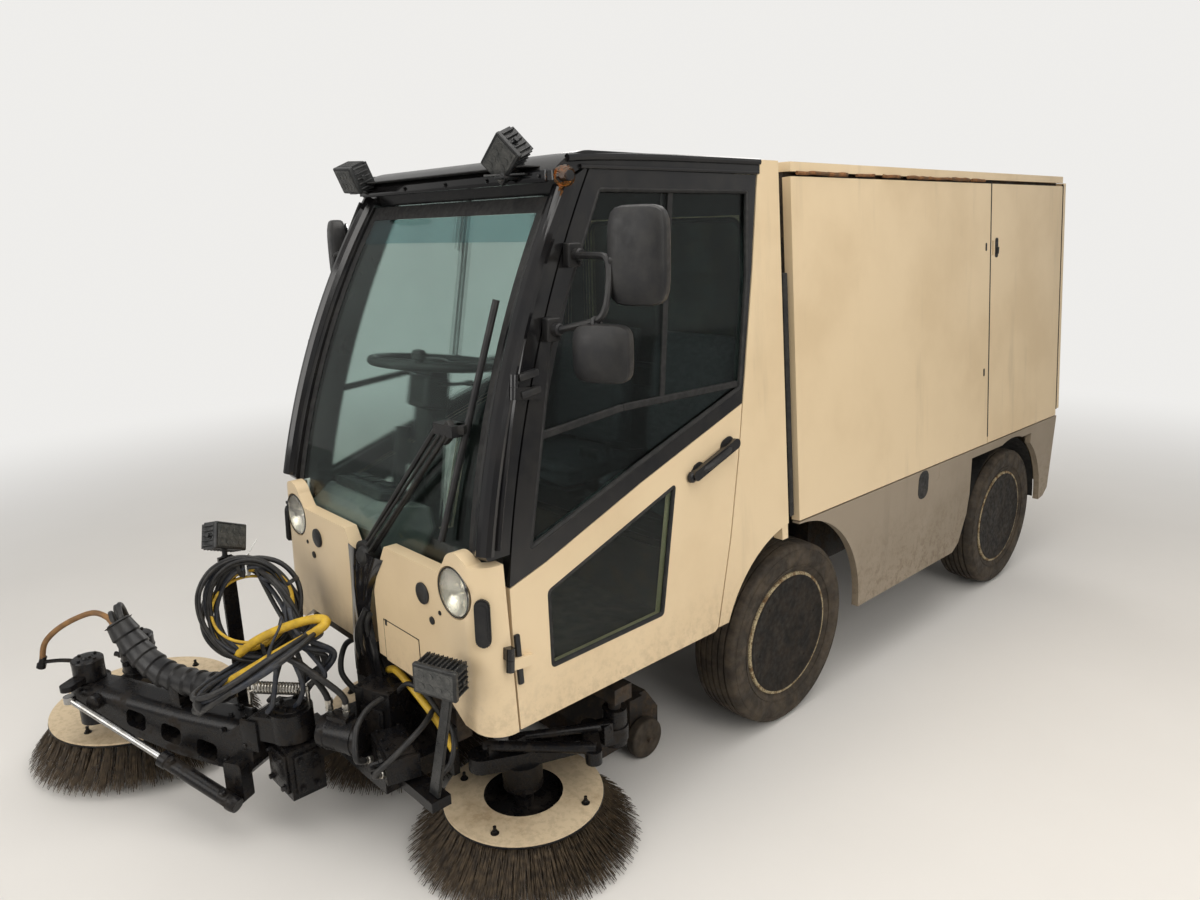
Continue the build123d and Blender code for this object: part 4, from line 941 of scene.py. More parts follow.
MIRROR_FACE = plain("mirror_face", (0.80, 0.82, 0.82), (0.74, 0.76, 0.76), 0.03, 1.0, cloud=6, bump=0.0)
for half, where in ((1, "left"), (-1, "right")):
    body = f"door_{where}"
    bm = bmesh.new()
    main, wide_angle = at(half * 0.745, -0.950, 1.700), at(half * 0.690, -1.020, 1.475)
    shell(bm, main, (0.150, 0.060, 0.230), 20 * half)
    shell(bm, wide_angle, (0.150, 0.060, 0.140), 20 * half, 0.7)
    for y, high in ((-0.960, 1.701), (-1.046, 1.524)):
        add_block(bm, on_side(y, high, 0.014, half), (0.026, 0.044, 0.060), (0, 4 * half, 0), 0.007, 3)
        add_lathe(
            bm, [(-0.012, 0.015), (0.026, 0.015), (0.030, 0.011)], on_side(y, high, 0.020, half),
            (half, 0, 0.05), 18,
        )
        add_bolt(bm, on_side(y + 0.012, high - 0.020, 0.027, half), (half, 0, 0.07), 0.009, 0.005)
    tube = [
        (0.535, -0.962, 1.701), (0.640, -0.990, 1.702), (0.690, -0.992, 1.700), (0.694, -1.000, 1.620),
        (0.688, -1.012, 1.560), (0.655, -1.030, 1.545), (0.552, -1.048, 1.524),
    ]
    hose_mesh(bm, [at(half * x, y, h) for x, y, h in tube], 0.0085, 10)
    add_rod(bm, at(half * 0.690, -0.992, 1.690), at(half * 0.735, -0.955, 1.690), 0.010)
    add_rod(bm, at(half * 0.668, -1.022, 1.548), at(half * 0.686, -1.018, 1.475), 0.0085)
    add_ring(bm, at(half * 0.672, -1.022, 1.546), (1, 0, 0.2), 0.013, 0.005, 20, 8)
    add_block(bm, at(half * 0.716, -0.972, 1.690), (0.030, 0.034, 0.034), (0, 0, 20 * half), 0.008, 3)
    finish_piece(bm, f"mirror_shells_{where}", MOULDED, body, (f"mirrors_{where}",))
    bm = bmesh.new()
    for centre, size in ((main, (0.126, 0.206)), (wide_angle, (0.124, 0.116))):
        spin = Matrix.Rotation(math.radians(20 * half), 3, "Z")
        add_plate(
            bm, rounded(*size, 0.022), -0.002, centre + spin @ Vector((0, 0.0305, 0)),
            spin @ Vector((1, 0, 0)), (0, 0, 1),
        )
    finish_piece(bm, f"mirror_faces_{where}", MIRROR_FACE, body)

# Lamps


def row_tree():
    """Sets copies of an object in an even row."""
    tree, given = new_tree("even_row", (("Copies", "Int"), ("Pitch", "Vector"), ("Start", "Vector")))
    line = tree.nodes.new("GeometryNodeMeshLine")
    tree.links.new(given["Copies"], line.inputs["Count"])
    tree.links.new(given["Start"], line.inputs["Start Location"])
    tree.links.new(given["Pitch"], line.inputs["Offset"])
    set_copies(tree, given, line.outputs["Mesh"])
    return tree


ROW_TREE = row_tree()


def add_row(bm, size, count, pitch, start, stuff, place=Matrix.Identity(4), bevel=0.001):
    """A row of equal softened blocks, made by the row tree and then placed."""
    shape_bm = bmesh.new()
    add_block(shape_bm, (0, 0, 0), size, bevel=bevel, segments=1)
    shape = new_object(shape_bm, "row_shape")
    made = run_tree(
        ROW_TREE, {"Copies": count, "Pitch": pitch, "Start": start, "Shape": shape, "Stuff": stuff},
    )
    bpy.data.objects.remove(shape)
    made.transform(place)
    bm.from_mesh(made)
    bpy.data.meshes.remove(made)


LAMP_BODY = plain(
    "lamp_casting", (0.012, 0.013, 0.014), (0.030, 0.030, 0.029), 0.32, 0.0, cloud=40, grain=600, bump=0.25,
)
DIODE = plain("smoked_lamp_face", (0.045, 0.047, 0.046), (0.085, 0.085, 0.080), 0.25, cloud=60, bump=0.03)


def work_lamp(casting, faces, centre, turn, width=0.124, high=0.084):
    """A cooled lamp: a smoked face in a frame, thick fins over its top, sides and back."""
    place = Matrix.Translation(centre) @ about_z(turn[2])
    place = place @ Matrix.Rotation(math.radians(turn[0]), 4, "X")
    place = place @ Matrix.Rotation(math.radians(turn[1]), 4, "Y")
    part = bmesh.new()
    add_block(part, (0, -0.022, 0), (width, 0.016, high), bevel=0.006, segments=3)
    add_block(part, (0, 0.004, 0), (width * 0.90, 0.042, high * 0.84), bevel=0.004)
    for x in (-1, 1):
        add_bolt(part, (x * width * 0.45, 0.004, 0), (x, 0, 0), 0.015, 0.010)
    for z in (-1, 1):
        add_row(
            part, (0.0042, 0.046, 0.011), 9, (width * 0.84 / 8, 0, 0),
            (-width * 0.42, 0.006, z * high * 0.44), LAMP_BODY,
        )
    for x in (-1, 1):
        add_row(
            part, (0.010, 0.046, 0.0042), 5, (0, 0, high * 0.72 / 4),
            (x * width * 0.465, 0.006, -high * 0.36), LAMP_BODY,
        )
    add_row(
        part, (0.0042, 0.016, high * 0.9), 9, (width * 0.84 / 8, 0, 0), (-width * 0.42, 0.030, 0),
        LAMP_BODY,
    )
    merge(casting, part, place)
    part = bmesh.new()
    add_block(part, (0, -0.0302, 0), (width * 0.88, 0.0016, high * 0.80), bevel=0.0006)
    for z in (-high * 0.20, high * 0.20):
        for i in range(4):
            add_lathe(
                part, [(0.0, 0.0105), (0.0012, 0.0105), (0.0004, 0.006), (0.0004, 0.0)],
                ((i - 1.5) * width * 0.2, -0.0309, z), (0, -1, 0), 16,
            )
    merge(faces, part, place)


casting, faces = bmesh.new(), bmesh.new()
work_lamp(casting, faces, at(0.498, -1.412, 0.705), (4, 4, 24))
for x, y, high, turn, width in (
    (-0.430, -1.030, 1.938, (24, 4, -6), 0.124), (0.345, -1.015, 1.947, (22, -38, 8), 0.116),
):
    work_lamp(casting, faces, at(x, y, high), turn, width)
    add_block(casting, at(x, -1.0153, 1.894), (0.036, 0.060, 0.007), bevel=0.002)
    add_rod(casting, at(x, -1.015, 1.890), at(x, -1.012, high - 0.030), 0.008)
    add_block(
        casting, at(x, -1.020, high - 0.046), (0.118, 0.020, 0.005), (0, 0, -12 if x < 0 else 25), 0.001,
    )
    add_bolt(casting, at(x, -1.030, 1.898), (0, 0, 1), 0.014, 0.009)
add_plate(
    casting, [(0.363, 0.302), (0.407, 0.302), (0.511, 0.655), (0.475, 0.655)], -0.010, at(0, -1.394, 0),
    (1, 0, 0), (0, 0, 1), 0.002,
)
add_block(casting, at(0.492, -1.400, 0.660), (0.040, 0.034, 0.008), (0, 0, 20), 0.002)
add_rod(casting, at(0.494, -1.405, 0.655), at(0.494, -1.405, 0.690), 0.007)
finish_piece(casting, "work_lamp_castings", LAMP_BODY, "vehicle", ("work_lamps",))
finish_piece(faces, "work_lamp_faces", DIODE, "vehicle")
casting, faces = bmesh.new(), bmesh.new()
work_lamp(casting, faces, at(-0.490, -1.550, 0.860), (-12, 24, 118))
add_rod(casting, at(-0.480, -1.560, 0.8003), at(-0.484, -1.556, 0.840), 0.008)
add_bolt(casting, at(-0.480, -1.560, 0.8003), (0, 0, 1), 0.016, 0.008)
finish_piece(casting, "boom_lamp_casting", LAMP_BODY, "boom_body", ("boom_lamp",))
finish_piece(faces, "boom_lamp_face", DIODE, "boom_body")

AMBER = glass("amber_lens", (0.95, 0.30, 0.03), 0.85)
RED = glass("red_lens", (0.62, 0.02, 0.015), 0.85)
SIDE_LAMP = at(0.520, -0.975, 1.890)
bm = bmesh.new()
add_lathe(
    bm, [(-0.006, 0.026), (0.008, 0.026), (0.016, 0.020), (0.020, 0.0)], SIDE_LAMP,
    (1, -0.3, 0), 28,
)
finish_piece(bm, "amber_lenses", AMBER, "vehicle")

bowl, lens, bezel = bmesh.new(), bmesh.new(), bmesh.new()
for half in (1, -1):
    centre = at(half * 0.452, PANEL_Y, 0.888)
    add_lathe(
        bowl,
        [
            (-0.0300, 0.0), (-0.0300, 0.010), (-0.0230, 0.016), (-0.0290, 0.022), (-0.0200, 0.046),
            (-0.0050, 0.061), (-0.0050, 0.064), (-0.0330, 0.064),
        ],
        centre, (0, -1, 0), 48,
    )
    add_lathe(
        lens, [(-0.0045, 0.0635), (-0.0015, 0.0625), (0.0010, 0.050), (0.0025, 0.030), (0.0032, 0.0), ],
        centre, (0, -1, 0), 48,
    )
    add_ring(bezel, centre + Vector((0, 0.0005, 0)), (0, -1, 0), 0.0650, 0.0016, 56, 8)
    add_lathe(
        bezel, [(0.0, 0.030), (0.004, 0.030), (0.006, 0.026), (0.006, 0.0)],
        at(half * 0.307, PANEL_Y - 0.0003, 0.844), (0, -1, 0), 32,
    )
    add_lathe(
        bezel, [(0.0, 0.013), (0.022, 0.013), (0.024, 0.0)],
        SIDE_LAMP if half > 0 else SIDE_LAMP + Vector((-0.020, 0.010, 0.003)), (1, 0, 0), 20,
    )
    reach = (PANEL_CORNER + 0.0007) * math.sin(math.radians(45))
    corner = at(half * (side_x(0.832) - PANEL_CORNER + reach), PANEL_Y + PANEL_CORNER - reach, 0.832)
    outward = Vector((half * 0.7071, -0.7071, 0.05)).normalized()
    across = Vector((0, 0, 1)).cross(outward).normalized()
    add_plate(bezel, rounded(0.040, 0.126, 0.019), 0.016, corner, across, outward.cross(across), 0.004)
    add_plate(
        bezel, rounded(0.024, 0.100, 0.011), 0.0020, corner + outward * 0.0158, across,
        outward.cross(across), 0.0008,
    )
finish_piece(bowl, "headlamp_bowls", CHROME, "vehicle")
finish_piece(lens, "headlamp_lenses", LENS, "vehicle", ("front_lamps",))
finish_piece(bezel, "front_lamp_bezels", MOULDED, "vehicle")

# Cab interior

LINING = plain(
    "cab_lining", (0.026, 0.026, 0.027), (0.042, 0.041, 0.039), 0.8, cloud=12, grain=900, bump=0.35,
)
MAT = plain(
    "floor_mat_rubber", (0.016, 0.015, 0.014), (0.05, 0.04, 0.03), 0.75, cloud=20, grain=500, bump=0.4,
)

# The inner faces of the door skins carry the dark lining
for name, half in (("door_skin_left", 1), ("door_skin_right", -1)):
    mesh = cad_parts[name].data
    mesh.materials.append(LINING)
    for polygon in mesh.polygons:
        if polygon.normal.x * half < -0.7:
            polygon.material_index = 2

# The dashboard is grey up to its top pad; column and wheel are black
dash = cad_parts["dashboard"].data
dash.materials.append(MOULDED)
for polygon in dash.polygons:
    middle = polygon.center
    on_column = middle.y > -1.049 and middle.z > GROUND + 0.56
    polygon.material_index = 1 if on_column or middle.z > GROUND + 0.965 else 0

# Hub and knob of the steering wheel, its column and stalks
wheel_at, wheel_up = at(-0.23, -0.912, 1.355), Vector((0, 0.12, 1)).normalized()
side = Vector((1, 0, 0))
fore = wheel_up.cross(side)
bm = bmesh.new()
add_lathe(
    bm, [(-0.020, 0.028), (-0.010, 0.046), (0.008, 0.046), (0.015, 0.036), (0.016, 0.0)], wheel_at,
    wheel_up, 32,
)
knob = wheel_at + side * 0.135 + fore * -0.14
add_lathe(
    bm, [(0.0, 0.012), (0.018, 0.012), (0.024, 0.021), (0.040, 0.023), (0.050, 0.017), (0.053, 0.0)], knob,
    wheel_up, 24,
)
add_block(bm, at(-0.232, -0.938, 1.262), (0.120, 0.095, 0.105), (-12, 0, 0), 0.020, 4)
for half in (1, -1):
    start = at(-0.232 + half * 0.055, -0.930, 1.290)
    hose_mesh(
        bm,
        [start, start + Vector((half * 0.05, 0.008, 0.004)), start + Vector((half * 0.125, 0.030, 0.016))],
        0.0055, 8,
    )
    add_lathe(
        bm, [(0.0, 0.006), (0.006, 0.009), (0.030, 0.009), (0.036, 0.005)],
        start + Vector((half * 0.110, 0.026, 0.014)), (half, 0.2, 0.1), 14,
    )
add_block(bm, at(-0.300, -1.020, 1.050), (0.022, 0.050, 0.200), (-10, 0, 0), 0.008, 3)
finish_piece(bm, "steering_column_fittings", MOULDED, "vehicle")

# Instrument cluster, switches and vents of the dashboard
bm = bmesh.new()
add_block(bm, at(-0.30, -1.130, 0.966), (0.300, 0.120, 0.030), (-12, 0, 0), 0.012, 3)
for x in (-0.40, -0.32, -0.24):
    add_block(bm, at(x, -1.108, 0.982), (0.062, 0.050, 0.008), (-12, 0, 0), 0.003)
for i in range(5):
    add_block(bm, at(-0.42 + 0.050 * i, -1.052, 0.900), (0.036, 0.006, 0.034), (8, 0, 0), 0.002)
for x in (-0.46, -0.13):
    add_ring(bm, at(x, -1.118, 0.958), (0, -0.25, 1), 0.026, 0.004, 24, 8)
finish_piece(bm, "dash_switchgear", MOULDED, "vehicle")

# Lever box between the seats, and the pedals
bm = bmesh.new()
add_block(bm, at(0.0, -0.380, 0.790), (0.130, 0.210, 0.078), bevel=0.014, segments=3)
for x, y in ((-0.032, -0.43), (0.0, -0.43), (0.032, -0.43), (-0.01, -0.33)):
    top = at(x, y - 0.02, 0.985)
    add_rod(bm, at(x, y, 0.828), top, 0.0045)
    add_lathe(
        bm, [(-0.004, 0.007), (0.006, 0.012), (0.024, 0.013), (0.034, 0.009), (0.036, 0.0)], top,
        (0, -0.1, 1), 18,
    )
    add_lathe(bm, [(0, 0.020), (0.010, 0.016), (0.026, 0.007)], at(x, y, 0.828), (0, 0, 1), 18)
for x in (-0.40, -0.20, -0.10):
    add_block(bm, at(x, -1.135, 0.655), (0.052, 0.014, 0.078), (38, 0, 0), 0.005)
    add_rod(bm, at(x, -1.132, 0.640), at(x, -1.152, 0.690), 0.007)
finish_piece(bm, "levers_and_pedals", MOULDED, "vehicle")

# Lining of the rear wall, the roof and the sides behind the doors
bm = bmesh.new()
wall_y = -0.0948
for centre, size in (
    ((0, wall_y, 1.855), (0.94, 0.0012, 0.120)), ((0, wall_y, 0.965), (1.02, 0.0012, 0.410)),
    ((0.440, wall_y, 1.48), (0.110, 0.0012, 0.630)), ((-0.440, wall_y, 1.48), (0.110, 0.0012, 0.630)),
):
    add_block(bm, at(*centre), size, bevel=0)
add_block(bm, at(0, -0.62, 1.9185), (0.84, 0.80, 0.0025), bevel=0)
for half in (1, -1):
    outline = [
        (-0.440, 0.790), (-0.100, 0.790), (-0.100, 1.890), (-0.180, 1.890), (-0.225, 1.629),
        (-0.298, 1.229), (-0.330, 1.056), (-0.384, 0.830),
    ]
    part = bmesh.new()
    part.faces.new([part.verts.new(on_side(y, h, -0.0345, half)) for y, h in outline])
    bmesh.ops.solidify(part, geom=part.faces[:], thickness=0.001)
    bmesh.ops.recalc_face_normals(part, faces=part.faces)
    merge(bm, part)
finish_piece(bm, "cab_wall_lining", LINING, "vehicle")

# Seal and bars of the rear window
bm = bmesh.new()
frame_line = [at(x, -0.0905, 1.48 + z) for x, z in rounded(0.748, 0.608, 0.05)]
hose_mesh(bm, frame_line, 0.009, 8, closed=True, resolution=3)
add_block(bm, at(0, -0.0885, 1.48), (0.022, 0.009, 0.600), bevel=0.003)
add_block(bm, at(0, -0.0885, 1.262), (0.744, 0.009, 0.020), bevel=0.003)
add_block(bm, at(-0.19, -0.0900, 1.230), (0.040, 0.012, 0.024), bevel=0.003)
finish_piece(bm, "rear_window_bars", SEAL, "vehicle")
bm = bmesh.new()
add_plate(
    bm, [(-0.50, -1.140), (0.50, -1.140), (0.50, -0.500), (-0.50, -0.500)], 0.004, at(0, 0, 0.5303),
    (1, 0, 0), (0, 1, 0), 0.001,
)
add_plate(
    bm, [(-0.50, -0.480), (0.50, -0.480), (0.50, -0.100), (-0.50, -0.100)], 0.002, at(0, 0, 0.7502),
    (1, 0, 0), (0, 1, 0),
)
finish_piece(bm, "floor_mats", MAT, "vehicle")

# Seats


def pad(name, centre, size, turn, crown, cap=0.012):
    """A padded block: crowned, then inflated as cloth and capped."""
    bm = bmesh.new()
    bmesh.ops.create_cube(bm, size=1)
    bmesh.ops.subdivide_edges(bm, edges=bm.edges[:], cuts=9, use_grid_fill=True)
    for v in bm.verts:
        x, y, z = v.co * 2
        k = 1.0 / max(1e-6, (abs(x) ** 6 + abs(y) ** 6 + abs(z) ** 6) ** (1 / 6))
        v.co = Vector((x, y, z)) * (0.25 + 0.75 * k) / 2
        if z > 0.2:
            v.co.z += crown / size[2] * (1 - x * x) * (1 - y * y) - 0.06 * math.exp(
                -((abs(x) - 0.62) / 0.09) ** 2
            )
        pinch = 1 - 0.035 * math.exp(-((z - 0.15) / 0.28) ** 2)
        v.co.x *= pinch
        v.co.y *= pinch
    bmesh.ops.scale(bm, vec=size, verts=bm.verts)
    place = Matrix.Translation(centre) @ Matrix.Rotation(math.radians(turn), 4, "X")
    bmesh.ops.transform(bm, matrix=place, verts=bm.verts)
    obj = new_object(bm, name)
    bpy.context.view_layer.objects.active = obj
    mesh = puffed(obj, 0.007, 4.0, cap)
    obj.modifiers.clear()
    obj.data = mesh
    smooth = obj.modifiers.new("finer", "SUBSURF")
    smooth.levels = smooth.render_levels = 1
    for polygon in obj.data.polygons:
        polygon.use_smooth = True
    obj.data.materials.clear()
    obj.data.materials.append(SEAT_CLOTH)
    return obj


CLOTH_FRAMES = 20


def puffed(obj, voxel, pressure, cap):
    """Runs the cloth on a remeshed copy and returns its mesh with each point's travel capped."""
    remesh = obj.modifiers.new("even", "REMESH")
    remesh.mode = "VOXEL"
    remesh.voxel_size = voxel
    even = plain_mesh(obj)
    obj.modifiers.clear()
    obj.data = even
    start = [v.co.copy() for v in even.vertices]
    cloth = obj.modifiers.new("cloth", "CLOTH")
    cloth.settings.use_pressure = True
    cloth.settings.uniform_pressure_force = pressure
    cloth.settings.effector_weights.gravity = 0
    cloth.settings.quality = 4
    cloth.point_cache.frame_start = 1
    cloth.point_cache.frame_end = CLOTH_FRAMES
    scene = bpy.context.scene
    for step in range(1, CLOTH_FRAMES + 1):
        scene.frame_set(step)
    moved = plain_mesh(obj)
    scene.frame_set(1)
    for before, v in zip(start, moved.vertices):
        way = v.co - before
        if way.length > cap:
            v.co = before + way * (cap / way.length)
    return moved


for x, where in ((-SEAT_X, "right"), (SEAT_X, "left")):
    cushion = pad(f"seat_cushion_{where}", at(x, -0.325, 0.900), (0.395, 0.365, 0.076), 0, 0.012, 0.008)
    backrest = pad(f"seat_back_{where}", at(x, -0.190, 1.190), (0.395, 0.462, 0.062), 82, 0.014, 0.008)
    for piece in (cushion, backrest):
        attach(piece, "vehicle")
        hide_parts("seats")
bm = bmesh.new()
for x in (-SEAT_X, SEAT_X):
    add_block(bm, at(x, -0.300, 0.806), (0.296, 0.296, 0.104), bevel=0.012, segments=3)
    add_block(bm, at(x, -0.322, 0.857), (0.400, 0.380, 0.010), bevel=0.004)
    for i in range(4):
        add_block(bm, at(x, -0.300, 0.775 + 0.020 * i), (0.2990, 0.2990, 0.004), bevel=0.001)
    for half in (1, -1):
        add_block(bm, at(x + half * 0.196, -0.160, 0.905), (0.016, 0.075, 0.090), (-8, 0, 0), 0.006, 3)
        add_rod(bm, at(x + half * 0.186, -0.172, 0.93), at(x + half * 0.204, -0.172, 0.93), 0.019, 18)
    add_block(bm, at(x, -0.158, 1.19), (0.380, 0.012, 0.430), (-8, 0, 0), 0.005)
finish_piece(bm, "seat_frames", MOULDED, "vehicle", ("seats",))

# Front boom, brush head and hoses

ROOT, HEAD = Vector((-0.140, -1.545, 0)), Vector((-0.835, -1.915, 0))
BOOM_WAY = (HEAD - ROOT).normalized()
BOOM_OUT = Vector((-BOOM_WAY.y, BOOM_WAY.x, 0)) * (1 if -BOOM_WAY.y > 0 else -1)
BOOM_TURN = math.degrees(math.atan2(BOOM_WAY.y, BOOM_WAY.x))


def boom_at(along, out, height):
    """A point of the boom: along it from the root, out towards its front face, above the ground."""
    spot = ROOT + BOOM_WAY * along + BOOM_OUT * out
    return at(spot.x, spot.y, height)


def smooth_line(points, step=0.008, closed=False):
    """Even points along a Catmull-Rom line through the given points."""
    points = [Vector(p) for p in points]
    count = len(points)
    line = []
    for i in range(count if closed else count - 1):
        if closed:
            p0, p1, p2, p3 = (points[(i + k) % count] for k in (-1, 0, 1, 2))
        else:
            p0, p1, p2, p3 = points[max(0, i - 1)], points[i], points[i + 1], points[min(count - 1, i + 2)]
        parts = max(1, round((p2 - p1).length / step))
        for k in range(parts):
            t = k / parts
            line.append(
                0.5 * (
                    2 * p1 + (p2 - p0) * t + (2 * p0 - 5 * p1 + 4 * p2 - p3) * t * t
                    + (3 * p1 - p0 - 3 * p2 + p3) * t**3
                )
            )
    if not closed:
        line.append(points[-1])
    return line


def add_sweep(bm, line, radius, sides=10, closed=False):
    """A tube along a line of points; the radius is a number or a function of the distance run."""
    part = bmesh.new()
    count = len(line)
    ways = []
    for i in range(count):
        before = line[i - 1] if i or closed else line[i]
        after = line[(i + 1) % count] if i < count - 1 or closed else line[i]
        ways.append((after - before).normalized())
    across = ways[0].orthogonal().normalized()
    rings, run = [], 0.0
    for i in range(count):
        if i:
            run += (line[i] - line[i - 1]).length
            across = (across - ways[i] * across.dot(ways[i])).normalized()
        other = ways[i].cross(across)
        size = radius(run) if callable(radius) else radius
        rings.append(
            [
                part.verts.new(line[i] + size * (across * math.cos(a) + other * math.sin(a)))
                for a in (2 * math.pi * k / sides for k in range(sides))
            ]
        )
    shift = 0
    if closed:
        gaps = [(rings[0][k].co - rings[-1][0].co).length for k in range(sides)]
        shift = gaps.index(min(gaps))
    for i in range(count if closed else count - 1):
        low, high = rings[i], rings[(i + 1) % count]
        turn = shift if closed and i == count - 1 else 0
        for k in range(sides):
            part.faces.new(
                (low[k], low[(k + 1) % sides], high[(k + 1 + turn) % sides], high[(k + turn) % sides])
            )
    if not closed:
        part.faces.new(rings[0][::-1])
        part.faces.new(rings[-1])
    bmesh.ops.recalc_face_normals(part, faces=part.faces)
    merge(bm, part)


def add_hose(bm, points, radius, sides=10, step=0.01):
    """A hose through points, which are vectors or (x, y, height above the ground)."""
    spots = [at(*point) if isinstance(point, tuple) else point for point in points]
    add_sweep(bm, smooth_line(spots, step), radius, sides)


YELLOW = plain(
    "yellow_hose_rubber", (0.62, 0.40, 0.035), (0.44, 0.27, 0.03), 0.45, cloud=30, grain=600, bump=0.15,
)
BLUE_BLACK = plain(
    "old_hose_rubber", (0.022, 0.026, 0.036), (0.050, 0.050, 0.052), 0.5, cloud=45, grain=700, bump=0.2,
)
TAPE = plain("wound_tape", (0.010, 0.010, 0.011), (0.028, 0.027, 0.026), 0.34, cloud=18, grain=400, bump=0.3)
ZINC = plain("zinc_fittings", (0.55, 0.53, 0.48), (0.38, 0.35, 0.30), 0.32, 1.0, cloud=60, bump=0.1)
BROWN_HOSE = plain(
    "brown_hose", (0.24, 0.125, 0.045), (0.15, 0.08, 0.035), 0.55, cloud=30, grain=500, bump=0.2,
)
WHITE_TIE = plain("white_cable_tie", (0.75, 0.75, 0.73), (0.62, 0.62, 0.60), 0.45, cloud=30, bump=0.05)

# Hose bundle wound with tape, lying in its clip on the boom
bundle = smooth_line(
    [
        at(-0.340, -1.655, 0.440), at(-0.400, -1.686, 0.436), at(-0.466, -1.719, 0.4355),
        at(-0.550, -1.763, 0.450), at(-0.614, -1.795, 0.490), at(-0.662, -1.819, 0.546),
        at(-0.694, -1.837, 0.600),
    ],
    0.006,
)
bm = bmesh.new()
add_sweep(bm, bundle, lambda run: 0.0450 - 0.0070 * ((run / 0.046) % 1.0), 24)
add_ring(bm, bundle[-1], bundle[-1] - bundle[-3], 0.030, 0.006, 24, 8)
finish_piece(bm, "taped_hose_bundle", TAPE, "boom_body", ("boom_hoses",), 28)

rng = random.Random(5)


def ring_axes(facing):
    facing = Vector(facing).normalized()
    across = facing.cross(Vector((0, 0, 1))).normalized()
    return facing, across, across.cross(facing)


def coil_turn(middle, facing, radius, off, lift, wander, lean=0.0, squash=1.0):
    """Control points of one turn of a coil, a little off the circle."""
    facing, across, up = ring_axes(facing)
    phase = rng.uniform(0, 6.28)
    points = []
    for i in range(14):
        a = 2 * math.pi * i / 14
        r = radius + off + wander * math.sin(2 * a + phase)
        points.append(
            middle + across * r * math.cos(a) + up * r * squash * math.sin(a)
            + facing * (lift + lean * math.cos(a + phase) + 0.5 * wander * math.sin(3 * a + phase))
        )
    return points


COIL, COIL_FACE = at(-0.355, -1.545, 0.660), (0.80, -0.50, 0.25)
LOOP, LOOP_FACE = at(-0.180, -1.600, 0.560), (-0.44, -0.27, 0.86)
black, blue, yellow = bmesh.new(), bmesh.new(), bmesh.new()
for k, (off, lift, r) in enumerate(
    (
        (-0.034, 0.006, 0.0065), (-0.020, -0.018, 0.0080), (-0.012, 0.018, 0.0060),
        (-0.004, -0.004, 0.0085), (0.004, 0.026, 0.0055), (0.010, -0.022, 0.0075), (0.018, 0.010, 0.0065),
        (0.026, -0.008, 0.0080), (0.032, 0.020, 0.0055), (-0.026, -0.006, 0.0050), (0.020, 0.030, 0.0045),
        (-0.008, -0.030, 0.0060),
    )
):
    target = blue if k % 3 == 0 else black
    line = coil_turn(COIL, COIL_FACE, 0.130, off * 0.55, lift, 0.0125, 0.017, 1.06)
    add_sweep(target, smooth_line(line, 0.012, True), r, 9, True)
for off, lift, r in ((-0.006, 0.004, 0.0095), (-0.024, 0.010, 0.0045)):
    add_sweep(
        yellow, smooth_line(coil_turn(COIL, COIL_FACE, 0.128, off, lift, 0.008, 0.030), 0.012, True), r, 9,
        True,
    )
for k, (off, lift, r) in enumerate(
    (
        (-0.018, -0.010, 0.0095), (0.006, -0.018, 0.0100), (0.018, 0.000, 0.0085), (-0.006, 0.006, 0.0075),
        (0.010, 0.014, 0.0080), (-0.026, 0.004, 0.0060), (0.024, -0.014, 0.0070), (0.000, 0.020, 0.0050),
    )
):
    target = blue if k % 2 else black
    line = coil_turn(LOOP, LOOP_FACE, 0.186, off * 0.6, lift, 0.010, 0.011)
    add_sweep(target, smooth_line(line, 0.012, True), r, 9, True)
# Yellow hose: out of the bundle, straight across the loop, a tight turn and back
add_hose(
    yellow,
    [
        bundle[3], (-0.310, -1.640, 0.474), (-0.235, -1.597, 0.528), (-0.150, -1.548, 0.590),
        (-0.070, -1.500, 0.646), (-0.032, -1.476, 0.676), (-0.022, -1.462, 0.690), (-0.038, -1.455, 0.696),
        (-0.090, -1.478, 0.686), (-0.180, -1.525, 0.645), (-0.270, -1.575, 0.590), (-0.340, -1.610, 0.530),
    ],
    0.0135, 14, step=0.009,
)
# Thin hose ring and strands that run from the coil to the machine's middle
add_sweep(
    blue,
    smooth_line(
        coil_turn(at(-0.150, -1.560, 0.640), (-0.5, -0.8, 0.5), 0.055, 0, 0, 0.004, 0.004), 0.008, True,
    ),
    0.0038, 8, True,
)
for k, (a, b, c) in enumerate(
    (
        (0.00, 0.02, 0.00), (0.05, -0.03, 0.03), (-0.03, 0.04, -0.02), (0.06, 0.01, 0.05),
        (0.02, -0.05, 0.01), (-0.05, 0.00, 0.04),
    )
):
    add_hose(
        blue if k % 2 else black,
        [
            COIL + Vector((a - 0.02, 0.03, 0.130 - 0.5 * abs(a))),
            COIL + Vector((0.090 + 0.5 * b, 0.05 + 0.4 * c, 0.060 + 1.2 * b)),
            (-0.165 + 0.6 * a, -1.480 - 0.4 * c, 0.630 + b),
            (-0.110 + 0.8 * c, -1.440 + 0.3 * a, 0.535 + 0.5 * a),
            (-0.150 + 0.8 * b, -1.490 + 0.3 * c, 0.455),
        ],
        0.0075 - 0.0005 * (k % 3), 9, step=0.012,
    )
